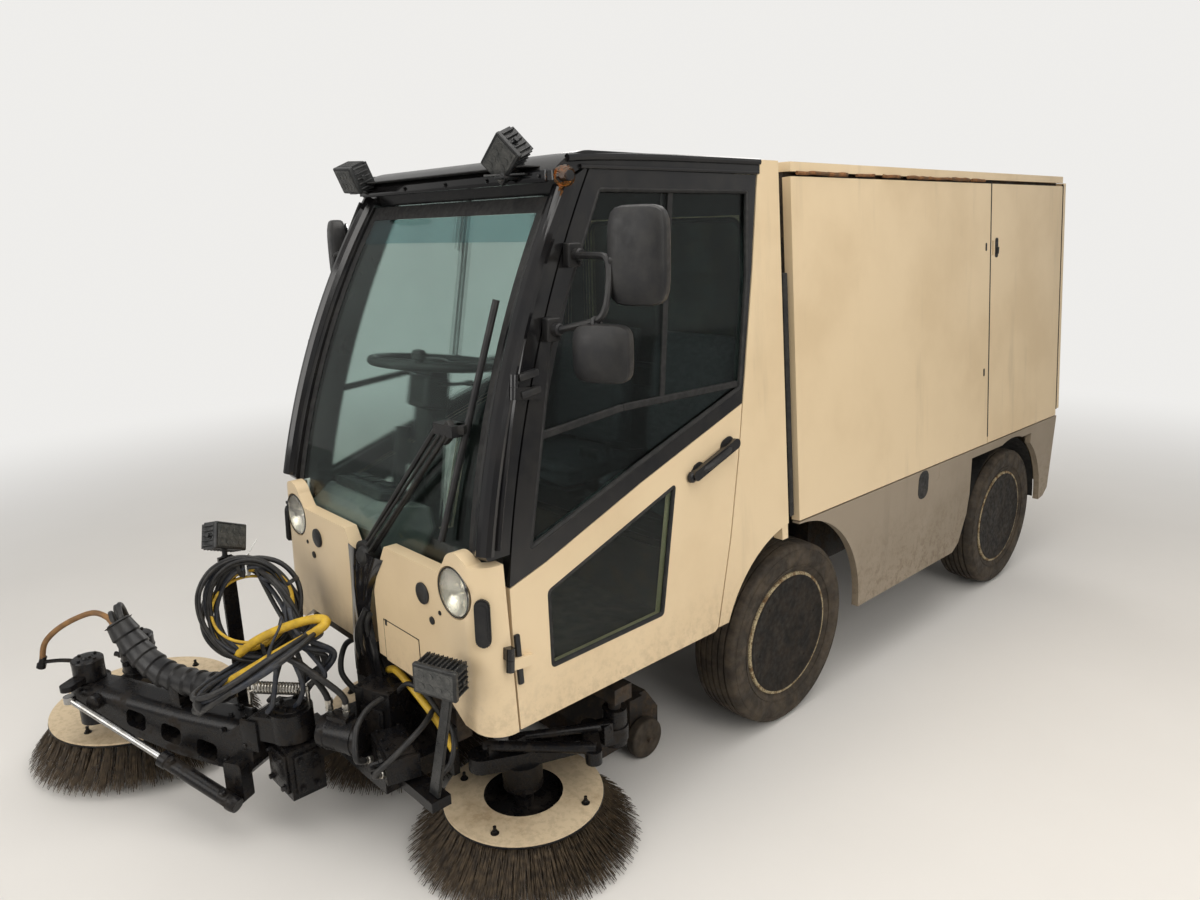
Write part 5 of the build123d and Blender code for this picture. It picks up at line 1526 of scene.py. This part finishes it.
# Hoses that run down to the motor's fittings and to the root
MOTOR_PORTS = ((-0.020, -1.478), (0.035, -1.452))
for (x, y), bend in zip(MOTOR_PORTS, (0.0, 0.02)):
    add_hose(
        black,
        [
            LOOP + Vector((0.12 + bend, 0.03, 0.055)), LOOP + Vector((0.15 + bend, 0.07, 0.015)),
            (x - 0.005, y - 0.01, 0.490), (x, y, 0.452),
        ],
        0.0095,
    )
for k, (x, y) in enumerate(((-0.16, -1.50), (-0.10, -1.53), (-0.19, -1.57), (-0.13, -1.60))):
    add_hose(
        blue if k % 2 else black,
        [
            LOOP + Vector((-0.02 + 0.03 * k, 0.11 - 0.03 * k, 0.02)), (x + 0.01, y + 0.01, 0.50),
            (x, y, 0.445), (x - 0.02, y - 0.01, 0.418),
        ],
        0.0075,
    )
finish_piece(black, "coiled_hoses_black", RUBBER, "boom_body", ("boom_hoses",), 60)
finish_piece(blue, "coiled_hoses_old", BLUE_BLACK, "boom_body", ("boom_hoses",), 60)
finish_piece(yellow, "coiled_hoses_yellow", YELLOW, "boom_body", ("boom_hoses",), 60)
bm = bmesh.new()
for middle, face, radius, angles, profile in (
    (COIL, COIL_FACE, 0.134, (80, 150, 255), sleeve(0.029, 0.0325, 0.006)),
    (LOOP, LOOP_FACE, 0.190, (200, 20, 300), sleeve(0.024, 0.027, 0.007)),
):
    facing, across, up = ring_axes(face)
    for a in map(math.radians, angles):
        spot = middle + (across * math.cos(a) + up * math.sin(a)) * radius
        add_lathe(bm, profile, spot, up * math.cos(a) - across * math.sin(a), 20)
# Hook from the lamp post that carries the coil
hose_mesh(
    bm,
    [
        at(-0.478, -1.562, 0.785), at(-0.440, -1.556, 0.812), at(-0.385, -1.548, 0.812),
        at(-0.366, -1.546, 0.790), at(-0.372, -1.550, 0.760),
    ],
    0.006, 8,
)
finish_piece(bm, "hose_ties", RUBBER, "boom_body")
bm = bmesh.new()
facing, across, up = ring_axes(COIL_FACE)
top = COIL + up * 0.134
add_lathe(bm, sleeve(0.0325, 0.0345, 0.0022), top, across, 20)
add_rod(bm, top + up * 0.030, top + up * 0.075 + across * -0.030, 0.0018, 6)
finish_piece(bm, "white_tie", WHITE_TIE, "boom_body")

# Hoses from the bundle to the front brush's motor, across the head's joint
strands, brown = bmesh.new(), bmesh.new()
for k, (dx, dy) in enumerate(((0.012, 0.010), (-0.012, 0.006), (0.0, -0.014))):
    add_hose(
        strands,
        [
            bundle[-2] + Vector((dx, dy, 0.0)), bundle[-1] + Vector((dx - 0.014, dy, 0.018)),
            (-0.760 + dx, -1.826 + dy, 0.636 - 0.012 * k), (-0.850 + dx, -1.797 + dy, 0.588 - 0.02 * k),
            (-0.930 + dx, -1.768 + dy, 0.490), (-0.965 - 0.022 * k, -1.752, 0.405),
        ],
        0.0078, step=0.012,
    )
add_hose(
    brown,
    [
        bundle[-2] + Vector((0, -0.018, 0)), bundle[-1] + Vector((-0.022, -0.020, 0.014)),
        (-0.780, -1.888, 0.622), (-0.860, -1.955, 0.578), (-0.922, -2.004, 0.515), (-0.944, -2.019, 0.450),
    ],
    0.0090, step=0.012,
)
for piece, end in (
    (
        finish_piece(strands, "motor_hoses", RUBBER, None, sharp=60),
        (-0.97, -1.75, GROUND + 0.42),
    ),
    (
        finish_piece(brown, "water_hose_brown", BROWN_HOSE, None, sharp=60),
        (-0.90, -1.99, GROUND + 0.54),
    ),
):
    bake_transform(piece)

# Spring and its two eyes above the root
bm = bmesh.new()
low, high = at(-0.250, -1.600, 0.455), at(-0.130, -1.512, 0.462)
axis = (high - low).normalized()
one = axis.orthogonal().normalized()
two = axis.cross(one)
turns = 15
helix = [
    low + axis * (high - low).length * t / (turns * 12) + 0.0165 * (
        one * math.cos(math.pi * t / 6) + two * math.sin(math.pi * t / 6)
    )
    for t in range(turns * 12 + 1)
]
add_sweep(bm, helix, 0.0030, 6)
for spot, lean in ((low, -1), (high, 1)):
    add_ring(bm, spot + axis * lean * 0.012, two, 0.012, 0.0028, 20, 8)
    add_rod(
        bm, spot + axis * lean * 0.022 + Vector((0, 0, 0.010)),
        spot + axis * lean * 0.022 - Vector((0, 0, 0.054)), 0.006,
    )
finish_piece(bm, "root_spring", ZINC, "boom_body")

# Boom fixings: root boss and its bolts, side plate, stub, two lugs for the hose clip
bm = bmesh.new()
root_top = at(ROOT.x, ROOT.y, 0.412)
add_lathe(bm, [(0.0, 0.050), (0.005, 0.050), (0.007, 0.046), (0.007, 0.0245)], root_top, (0, 0, 1), 40)
add_bolt_circle(bm, root_top + Vector((0, 0, 0.007)), 0.037, 6, 15, 0.011, 0.007)
for along in (0.155, 0.205):
    for out in (-0.022, 0.022):
        add_bolt(bm, boom_at(along, out, 0.3605), (0, 0, 1), 0.014, 0.009)
add_block(
    bm, boom_at(0.105, 0.062, 0.335), (0.058, 0.010, 0.100),
    (0, 0, BOOM_TURN), 0.003,
)
for along, high in ((0.125, 0.300), (0.205, 0.235), (0.205, 0.335)):
    add_bolt(bm, boom_at(along, 0.0602, high), BOOM_OUT, 0.015, 0.009)
add_lathe(
    bm, [(0.0, 0.026), (0.018, 0.026), (0.022, 0.021), (0.022, 0.0)], boom_at(0.700, 0.059, 0.350),
    BOOM_OUT, 24,
)
for out in (-0.0365, 0.0365):
    add_block(
        bm, boom_at(0.400, out, 0.404), (0.036, 0.005, 0.066), (0, 0, BOOM_TURN), 0.002,
    )
finish_piece(bm, "boom_fixings", MACHINE_BLACK, "boom_body")

# Brush head fixings: pivot cap, end and rings of the motor, its two unions
bm = bmesh.new()
cap = at(HEAD.x, HEAD.y, 0.452)
add_lathe(
    bm, [(-0.010, 0.0475), (0.0, 0.0475), (0.004, 0.044), (0.006, 0.018), (0.012, 0.014), (0.012, 0.0)],
    cap, (0, 0, 1), 40,
)
add_bolt_circle(bm, cap + Vector((0, 0, 0.003)), 0.032, 4, 30, 0.010, 0.006)
motor = at(*FRONT_BRUSH, 0.410)
add_lathe(
    bm, [(-0.002, 0.0565), (0.0, 0.0565), (0.005, 0.052), (0.008, 0.030), (0.008, 0.0)], motor, (0, 0, 1),
    40,
)
add_bolt_circle(bm, motor + Vector((0, 0, 0.003)), 0.042, 4, 45, 0.012, 0.008)
for high in (0.290, 0.330, 0.370):
    add_ring(bm, at(*FRONT_BRUSH, high), (0, 0, 1), 0.0562, 0.0022, 40, 8)
for x, y in ((-0.965, -1.765), (-1.035, -1.765)):
    add_lathe(
        bm, [(0, 0.012), (0.020, 0.012), (0.022, 0.009), (0.036, 0.009)], at(x, y, 0.335),
        (x + 1.0, -0.035, 0.01), 8,
    )
# Spray nozzle that the brown hose feeds, on its bent rod
add_hose(bm, [(-0.850, -1.925, 0.440), (-0.893, -1.972, 0.447), (-0.944, -2.019, 0.440)], 0.0065, 8)
add_lathe(
    bm, [(-0.014, 0.0105), (0.010, 0.0105), (0.012, 0.014), (0.026, 0.014), (0.030, 0.008), (0.030, 0.0)],
    at(-0.944, -2.019, 0.446), (-0.1, -0.3, -0.9), 12,
)
finish_piece(bm, "brush_head_fixings", MACHINE_BLACK, "head")

# Collars and hose stubs of the ram that swings the head
bm = bmesh.new()
base, eye = at(-0.199, -1.712, 0.130), at(-0.780, -1.990, 0.360)
ram_way = (eye - base).normalized()
add_lathe(
    bm, [(0.0, 0.0225), (0.012, 0.0250), (0.030, 0.0250), (0.034, 0.0225)], base + ram_way * 0.001, ram_way,
    28,
)
add_lathe(
    bm, [(0.0, 0.0225), (0.004, 0.0252), (0.028, 0.0252), (0.032, 0.0175)], base + ram_way * 0.270, ram_way,
    28,
)
for share in (0.045, 0.245):
    spot = base + ram_way * share
    add_lathe(bm, [(0.0, 0.011), (0.034, 0.011), (0.036, 0.008)], spot, (0.1, -0.3, 0.9), 8)
finish_piece(bm, "head_ram_fittings", MACHINE_BLACK, "boom_body")

# Hydraulics on the carrier

# Motor, box lid, valve block, bolts of the carrier's plate, plates and foot of the boom's post
bm = bmesh.new()
motor_a, motor_b = at(-0.019, -1.492, 0.3663), at(0.099, -1.438, 0.3663)
motor_way = (motor_b - motor_a).normalized()
add_lathe(
    bm, [(-0.004, 0.030), (-0.004, 0.0515), (0.006, 0.0530), (0.020, 0.0530), (0.022, 0.0510)], motor_a,
    motor_way, 40,
)
add_lathe(
    bm, [(0.0, 0.0510), (0.002, 0.0540), (0.016, 0.0540), (0.018, 0.0510)], motor_a + motor_way * 0.098,
    motor_way, 40,
)
for i in range(6):
    a = math.radians(60 * i)
    spot = motor_a - motor_way * 0.004 + 0.040 * (
        Vector((0, 0, 1)) * math.sin(a) + motor_way.cross(Vector((0, 0, 1))) * math.cos(a)
    )
    add_bolt(bm, spot, -motor_way, 0.010, 0.006)
add_block(
    bm, motor_a + motor_way * 0.055 + Vector((0, 0, 0.050)), (0.070, 0.046, 0.026),
    (0, 0, math.degrees(math.atan2(motor_way.y, motor_way.x))), 0.005,
)
part = bmesh.new()
add_block(part, (0, 0, 0.0875), (0.130, 0.090, 0.006), bevel=0.002)
for x in (-0.052, 0.052):
    for y in (-0.034, 0.034):
        add_bolt(part, (x, y, 0.090), (0, 0, 1), 0.009, 0.005)
add_block(part, (0, -0.047, -0.010), (0.080, 0.008, 0.090), bevel=0.003)
merge(bm, part, Matrix.Translation(at(0.062, -1.350, 0.4003)) @ about_z(20))
part = bmesh.new()
add_block(part, (0, 0, 0.0375), (0.150, 0.078, 0.008), bevel=0.003)
for x in (-0.070, -0.020, 0.030, 0.070):
    add_bolt(part, (x, 0.030, 0.0415), (0, 0, 1), 0.010, 0.006)
    add_bolt(part, (x, -0.030, 0.0415), (0, 0, 1), 0.010, 0.006)
for z in (-0.014, 0.014):
    add_lathe(
        part, [(0, 0.014), (0.010, 0.014), (0.012, 0.010), (0.034, 0.010)], (0.045, -0.047, z), (0, -1, 0),
        8,
    )
merge(bm, part, Matrix.Translation(at(0.210, -1.402, 0.3503)) @ about_z(-15))
for x in (-0.25, -0.10, 0.10, 0.25):
    for high in (0.265, 0.375):
        if abs(x) < 0.2 or high > 0.3:
            add_bolt(bm, at(x, -1.260, high), (0, -1, 0), 0.018, 0.011)
for way, across, off, wide in (
    ((0, -1, 0), (1, 0, 0), 0.052, 0.118), ((1, 0, 0), (0, 1, 0), 0.075, 0.078),
    ((-1, 0, 0), (0, 1, 0), 0.075, 0.078),
):
    way, across = Vector(way), Vector(across)
    face = at(ROOT.x, ROOT.y, 0.235) + way * off
    add_block(
        bm, face + way * 0.004,
        [abs(a * wide) + abs(w * 0.010) + 0.124 * (k == 2) for k, (a, w) in enumerate(zip(across, way))],
        bevel=0.003,
    )
    for half in (1, -1):
        for high in (-0.046, 0.046):
            add_bolt(
                bm, face + way * 0.009 + across * half * (wide / 2 - 0.016) + Vector((0, 0, high)), way,
                0.016, 0.010,
            )
add_lathe(
    bm, [(0.0, 0.040), (0.010, 0.040), (0.012, 0.030), (0.024, 0.028), (0.026, 0.0)],
    at(ROOT.x, ROOT.y, 0.156), (0, 0, -1), 32,
)
finish_piece(bm, "hydraulic_fixings", MACHINE_BLACK, "vehicle")

# Bright unions on the motor and the valve block, and the carrier's hoses
bm = bmesh.new()
for x, y in MOTOR_PORTS:
    add_lathe(
        bm,
        [(0.0, 0.012), (0.010, 0.012), (0.011, 0.010), (0.020, 0.010), (0.021, 0.0125), (0.034, 0.0125)],
        at(x, y, 0.425), (0, 0, 1), 8,
    )
for x, y, high in ((0.165, -1.452, 0.336), (0.252, -1.461, 0.336)):
    add_lathe(
        bm, [(0.0, 0.011), (0.012, 0.011), (0.014, 0.009), (0.026, 0.009)], at(x, y, high), (0.1, -1, 0.3),
        8,
    )
finish_piece(bm, "hydraulic_unions", ZINC, "vehicle")
black, yellow = bmesh.new(), bmesh.new()
for points, r in (
    (
        (
            (0.168, -1.475, 0.344), (0.180, -1.505, 0.370), (0.150, -1.480, 0.440), (0.120, -1.415, 0.470),
            (0.110, -1.330, 0.470), (0.100, -1.290, 0.440),
        ),
        0.0085,
    ),
    (
        (
            (0.255, -1.485, 0.344), (0.275, -1.500, 0.365), (0.300, -1.450, 0.410), (0.285, -1.350, 0.450),
            (0.240, -1.285, 0.460),
        ),
        0.0085,
    ),
    (
        ((0.120, -1.330, 0.480), (0.170, -1.320, 0.520), (0.230, -1.300, 0.500), (0.280, -1.285, 0.440),),
        0.0075,
    ),
    (
        ((0.330, -1.360, 0.305), (0.360, -1.320, 0.350), (0.330, -1.285, 0.420), (0.250, -1.275, 0.450),),
        0.0080,
    ),
    (
        (
            (-0.020, -1.315, 0.450), (-0.060, -1.330, 0.540), (-0.040, -1.345, 0.640),
            (-0.010, -1.338, 0.700),
        ),
        0.0100,
    ),
    (
        ((0.010, -1.300, 0.450), (-0.020, -1.315, 0.540), (-0.010, -1.340, 0.640), (0.010, -1.338, 0.690),),
        0.0085,
    ),
    (
        (
            (-0.070, -1.300, 0.400), (-0.090, -1.330, 0.520), (-0.060, -1.345, 0.620),
            (-0.020, -1.340, 0.680),
        ),
        0.0110,
    ),
    (
        (
            (-0.170, -1.300, 0.330), (-0.240, -1.330, 0.400), (-0.260, -1.300, 0.480),
            (-0.200, -1.270, 0.520),
        ),
        0.0095,
    ),
):
    add_hose(black, points, r)
add_hose(
    yellow,
    [
        (0.020, -1.300, 0.500), (0.090, -1.310, 0.525), (0.190, -1.305, 0.485), (0.290, -1.300, 0.430),
        (0.350, -1.300, 0.380),
    ],
    0.0110, 12,
)
finish_piece(black, "carrier_hoses", RUBBER, "vehicle", sharp=60)
finish_piece(yellow, "carrier_hose_yellow", YELLOW, "vehicle", sharp=60)

# Front panel, side panels and rear

TRIM_DARK = plain(
    "dull_black_trim", (0.010, 0.010, 0.010), (0.026, 0.024, 0.021), 0.55, cloud=30, grain=500, bump=0.2,
)
RUSTY = soiled("rusty_seal", (0.10, 0.060, 0.032), (0.26, 0.12, 0.05), 0.85, (0.40, 0.60), 22)

# Black tongue between the halves of the front panel, its folds and the plate below it
bm = bmesh.new()
rows = []
for h, low, high, out in (
    (0.880, -0.098, 0.105, 0.004), (0.820, -0.100, 0.060, 0.010), (0.760, -0.104, 0.022, 0.014),
    (0.700, -0.108, 0.002, 0.014), (0.640, -0.116, 0.010, 0.013), (0.580, -0.124, 0.024, 0.012),
    (0.520, -0.128, 0.034, 0.010), (0.460, -0.130, 0.046, 0.006),
):
    row = []
    for i in range(13):
        t = i / 12
        swell = (0.004 + 0.003 * math.sin(9 * t + 14 * h)) * math.sin(math.pi * t)
        row.append(
            bm.verts.new(
                at(low + (high - low) * t, -1.3325 - 0.45 * out * min(1.0, 6 * t, 6 * (1 - t)) - swell, h)
            )
        )
    rows.append(row)
for a, b in zip(rows, rows[1:]):
    for i in range(12):
        bm.faces.new((a[i], b[i], b[i + 1], a[i + 1]))
bmesh.ops.recalc_face_normals(bm, faces=bm.faces)
bmesh.ops.solidify(bm, geom=bm.faces[:], thickness=0.0015)
finish_piece(bm, "panel_tongue", GLOSS_BLACK, "vehicle", sharp=50)

# Recessed blank plate; a thin black line round it, which is painted shadow of the gap round its recess;
# screws and small fixings of the front panel
bm = bmesh.new()
add_plate(
    bm, rounded(0.186, 0.126, 0.006), 0.0016, at(0.172, PANEL_Y - 0.0002, 0.630), (1, 0, 0), (0, 0, 1),
    0.0005,
)
finish_piece(bm, "front_blank_plate", CREAM, "vehicle")
bm = bmesh.new()
# The thin black line round the blank plate, in four strips: painted shadow of the gap round its recess
for x, h, wide, high in (
    (0.172, 0.6945, 0.190, 0.0022), (0.172, 0.5655, 0.190, 0.0022), (0.0775, 0.630, 0.0022, 0.130),
    (0.2665, 0.630, 0.0022, 0.130),
):
    add_block(bm, at(x, PANEL_Y - 0.0005, h), (wide, 0.0016, high), bevel=0)
add_block(bm, at(0.092, PANEL_Y - 0.001, 0.688), (0.012, 0.003, 0.018), bevel=0.001)
for half in (1, -1):
    for x, h in ((0.515, 0.915), (0.385, 0.812)):
        add_lathe(
            bm, [(0.0, 0.0065), (0.0015, 0.0065), (0.0015, 0.0)], at(half * x, PANEL_Y - 0.0003, h),
            (0, -1, 0), 16,
        )
    add_lathe(
        bm, [(0.0, 0.011), (0.003, 0.011), (0.004, 0.008), (0.004, 0.0)],
        at(half * 0.345, PANEL_Y - 0.0003, 0.778), (0, -1, 0), 20,
    )
finish_piece(bm, "front_panel_details", TRIM_DARK, "vehicle")

# Wiper: base cap, second arm rod, blade rubber
bm = bmesh.new()
add_lathe(
    bm, [(0.0, 0.030), (0.018, 0.028), (0.026, 0.020), (0.028, 0.0)], at(-0.010, -1.318, 0.862),
    (0.1, -1, 0.25), 28,
)
for dx in (-0.012, 0.014):
    a, b = at(-0.005 + dx, -1.326, 0.875), at(0.362 + dx, -1.270, 1.270)
    add_rod(bm, a, b, 0.0045)
add_block(bm, at(0.372, -1.262, 1.276), (0.062, 0.018, 0.040), (0, -40, 0), 0.005)
add_block(bm, at(0.396, -1.240, 1.286), (0.040, 0.040, 0.024), (0, 0, 30), 0.006)
finish_piece(bm, "wiper_arms", TRIM_DARK, "vehicle")

# Backing of the skirt's notch and slot, and the posts in the gap behind the cab
bm = bmesh.new()
for half in (1, -1):
    add_block(bm, at(half * 0.5405, 1.010, 0.745), (0.006, 0.070, 0.130), bevel=0.001)
    add_block(bm, at(half * 0.515, -0.030, 1.200), (0.040, 0.026, 0.820), (0, -4 * half, 0), 0.004)
    add_plate(
        bm, rounded(0.085, 0.120, 0.036), 0.0008 * half, at(half * 0.57305, 0.893, 0.702), (0, 1, 0),
        (0, 0, 1),
    )
finish_piece(bm, "notch_backs_and_gap_posts", TRIM_DARK, "vehicle")
bm = bmesh.new()
for half in (1, -1):
    outline = [(u, min(v, 0.019)) for u, v in rounded(0.0456, 0.0996, 0.0226)]
    add_plate(bm, outline, 0.004 * half, at(half * 0.5684, 1.010, 0.745), (0, 1, 0), (0, 0, 1))
finish_piece(bm, "skirt_slot_covers", SKIRT_GREY, "vehicle")

# Seals and latches of the hopper's sides, and the rusty seal under its roof
bm, rust = bmesh.new(), bmesh.new()
rng = random.Random(8)
for half in (1, -1):
    climb = on_side(0, 1.70, 0, half) - on_side(0, 1.60, 0, half)
    for y, h, wide, high, corner in (
        (1.548, 1.640, 0.030, 0.085, 0.010), (1.443, 1.646, 0.014, 0.034, 0.005),
        (1.440, 1.10, 0.014, 0.034, 0.005),
    ):
        add_plate(
            bm, rounded(wide, high, corner), 0.0012 * half, on_side(y, h, 0.0004, half), (0, 1, 0), climb,
            0.0003,
        )
    add_block(bm, on_side(1.548, 1.628, 0.005, half), (0.010, 0.014, 0.030), bevel=0.003)
    for y in (1.487, 2.304):
        add_rod(bm, on_side(y, 0.800, -0.0015, half), on_side(y, 1.920, -0.0015, half), 0.0045, 8)
    add_bar(bm, (0.030, 0.781), (2.290, 0.781), half, -0.012, 0.016, 0.012)
    line = [
        on_side(0.035 + 0.030 * i, 1.9235 + rng.uniform(-0.0022, 0.0010), rng.uniform(-0.001, 0.0016), half)
        for i in range(48)
    ]
    for first in range(0, 46, 6):
        add_hose(rust, line[first:first + rng.choice((5, 6, 7))], rng.uniform(0.0048, 0.0074), 7, step=0.008)
finish_piece(bm, "hopper_side_seals", TRIM_DARK, "hopper")
finish_piece(rust, "hopper_roof_seal", RUSTY, "hopper")

# Black liners over the rear wheels
bm = bmesh.new()
for half in (1, -1):
    rows = []
    for i in range(29):
        a = math.radians(2 + 176 * i / 28)
        rows.append(
            [
                bm.verts.new((half * x, WHEELBASE + 0.398 * math.cos(a), HUB_Z + 0.398 * math.sin(a)))
                for x in (0.385, 0.5445)
            ]
        )
    for a, b in zip(rows, rows[1:]):
        bm.faces.new((a[0], a[1], b[1], b[0]) if half > 0 else (a[0], b[0], b[1], a[1]))
bmesh.ops.solidify(bm, geom=bm.faces[:], thickness=0.003)
finish_piece(bm, "rear_arch_liners", TRIM_DARK, "vehicle", sharp=50)

# Rear lamps, latches, handles and hinge ends
TAIL_Y = 2.312
red, amber, body, lamp_bodies = (bmesh.new() for _ in range(4))
for half in (1, -1):
    for x, h, glow in ((0.388, 0.592, amber), (0.472, 0.592, red)):
        add_lathe(
            lamp_bodies, [(0.0, 0.0365), (0.006, 0.0365), (0.008, 0.033), (0.008, 0.0)],
            at(half * x, TAIL_Y - 0.0158, h), (0, 1, 0), 32,
        )
        add_lathe(
            glow, [(0.0082, 0.032), (0.014, 0.031), (0.018, 0.022), (0.019, 0.0)],
            at(half * x, TAIL_Y - 0.0158, h), (0, 1, 0), 32,
        )
    add_block(red, at(half * 0.430, TAIL_Y - 0.0135, 0.545), (0.120, 0.004, 0.014), bevel=0.001)
    # Flush pull: a thin plate with a rim round its pocket and a lip to hold
    add_block(body, at(half * 0.400, TAIL_Y + 0.0466, 0.866), (0.110, 0.003, 0.070), bevel=0.001)
    for dx, dz, wide, tall in (
        (0, 0.029, 0.104, 0.006), (0, -0.029, 0.104, 0.006), (0.049, 0, 0.006, 0.064),
        (-0.049, 0, 0.006, 0.064), (0, 0.010, 0.088, 0.012),
    ):
        add_block(
            body, at(half * 0.400 + dx, TAIL_Y + 0.0482, 0.866 + dz), (wide, 0.0014, tall), bevel=0.0004,
        )
    add_row(
        lamp_bodies, (0.070, 0.004, 0.010), 6, (0, 0, 0.020),
        (half * 0.250, TAIL_Y - 0.0255, GROUND + 0.485), TRIM_DARK,
    )
add_block(body, at(0, TAIL_Y + 0.0225, 0.794), (1.040, 0.026, 0.011), bevel=0.004)
finish_piece(lamp_bodies, "rear_lamp_bodies", TRIM_DARK, "vehicle")
finish_piece(amber, "rear_amber_lamps", AMBER, "vehicle")
finish_piece(red, "rear_red_lamps", RED, "vehicle")
finish_piece(body, "tailgate_fittings", TRIM_DARK, "tailgate_body")

# Camera, lights and floor

CAMERA_PLACE = (2.188, -2.422, 1.470)
PHOTO_WIDTH, FOCAL_LENGTH = 1200, 866  # pixels
YAW, PITCH, ROLL = math.radians(47.238), math.radians(14.329), math.radians(-1.420)
back = Vector((math.sin(YAW) * math.cos(PITCH), -math.cos(YAW) * math.cos(PITCH), math.sin(PITCH)))
right = (-back).cross(Vector((0, 0, 1))).normalized()
upward = right.cross(-back)
turned_right = math.cos(ROLL) * right + math.sin(ROLL) * upward
turned_up = -math.sin(ROLL) * right + math.cos(ROLL) * upward
camera = bpy.data.objects.new("camera", bpy.data.cameras.new("camera"))
camera.data.sensor_width = 36
camera.data.lens = FOCAL_LENGTH / PHOTO_WIDTH * 36
camera.data.clip_end = 60
turned = Matrix((turned_right, turned_up, back)).transposed().to_4x4()
camera.matrix_world = Matrix.Translation(CAMERA_PLACE) @ turned
bpy.context.scene.collection.objects.link(camera)
bpy.context.scene.camera = camera

bpy.context.scene.view_settings.view_transform = "Standard"
for name, place, aim, size, power in (
    ("overhead", (0.6, -0.6, 4.2), (0, 0.6, 0), 4.5, 165),
    ("left_side", (4.6, -1.2, 2.6), (0.3, 0.3, 0.4), 3.0, 100),
    ("front", (-0.6, -5.4, 2.4), (0, -0.8, 0.5), 3.0, 90),
    ("behind", (-3.6, 4.4, 3.0), (0, 1.0, 0.5), 3.0, 80),
):
    lamp = bpy.data.objects.new(name, bpy.data.lights.new(name, "AREA"))
    lamp.data.size = size
    lamp.data.energy = power
    lamp.data.color = (1.0, 0.975, 0.94)
    lamp.location = place
    lamp.rotation_euler = (Vector(place) - Vector(aim)).to_track_quat("Z", "Y").to_euler()
    bpy.context.scene.collection.objects.link(lamp)

PALE = (0.86, 0.85, 0.83)


def seen_rays(tree):
    """1 for camera and transmission rays, less for glossy ones; the backdrop lights nothing."""
    rays = tree.nodes.new("ShaderNodeLightPath")
    value = rays.outputs["Is Camera Ray"]
    for kind, share in (("Is Glossy Ray", 0.3), ("Is Transmission Ray", 1.0)):
        part = tree.nodes.new("ShaderNodeMath")
        part.operation = "MULTIPLY"
        part.inputs[1].default_value = share
        tree.links.new(rays.outputs[kind], part.inputs[0])
        node = tree.nodes.new("ShaderNodeMath")
        node.operation = "MAXIMUM"
        tree.links.new(value, node.inputs[0])
        tree.links.new(part.outputs[0], node.inputs[1])
        value = node.outputs[0]
    return value


world = bpy.data.worlds.new("studio")
bpy.context.scene.world = world
world.use_nodes = True
sky = world.node_tree.nodes["Background"]
sky.inputs["Color"].default_value = (*PALE, 1)
level = world.node_tree.nodes.new("ShaderNodeMapRange")
level.inputs["To Min"].default_value = 0.45
level.inputs["To Max"].default_value = 1.0
world.node_tree.links.new(seen_rays(world.node_tree), level.inputs["Value"])
world.node_tree.links.new(level.outputs["Result"], sky.inputs["Strength"])

# The floor takes light and shadow near the machine and runs into the backdrop's tone further out
bpy.ops.mesh.primitive_plane_add(size=90, location=(0, 0, GROUND))
floor = bpy.context.object
floor.name = "floor"
f = Finish("studio_floor", 0.7)
reach = f.nodes.new("ShaderNodeVectorMath")
reach.operation = "LENGTH"
f.links.new(f.place, reach.inputs[0])
far = f.ramp(reach.outputs["Value"], 2.6, 7.5)
f.colour(f.mix(far, f.mix(f.noise(1.5, 5), (0.66, 0.64, 0.61), (0.71, 0.69, 0.66)), (0.0, 0.0, 0.0)))
f.shader.inputs["Specular IOR Level"].default_value = 0.0
f.shader.inputs["Emission Color"].default_value = (*PALE, 1)
f.links.new(f.math("MULTIPLY", far, seen_rays(f.material.node_tree)), f.shader.inputs["Emission Strength"])
floor.data.materials.append(f.material)
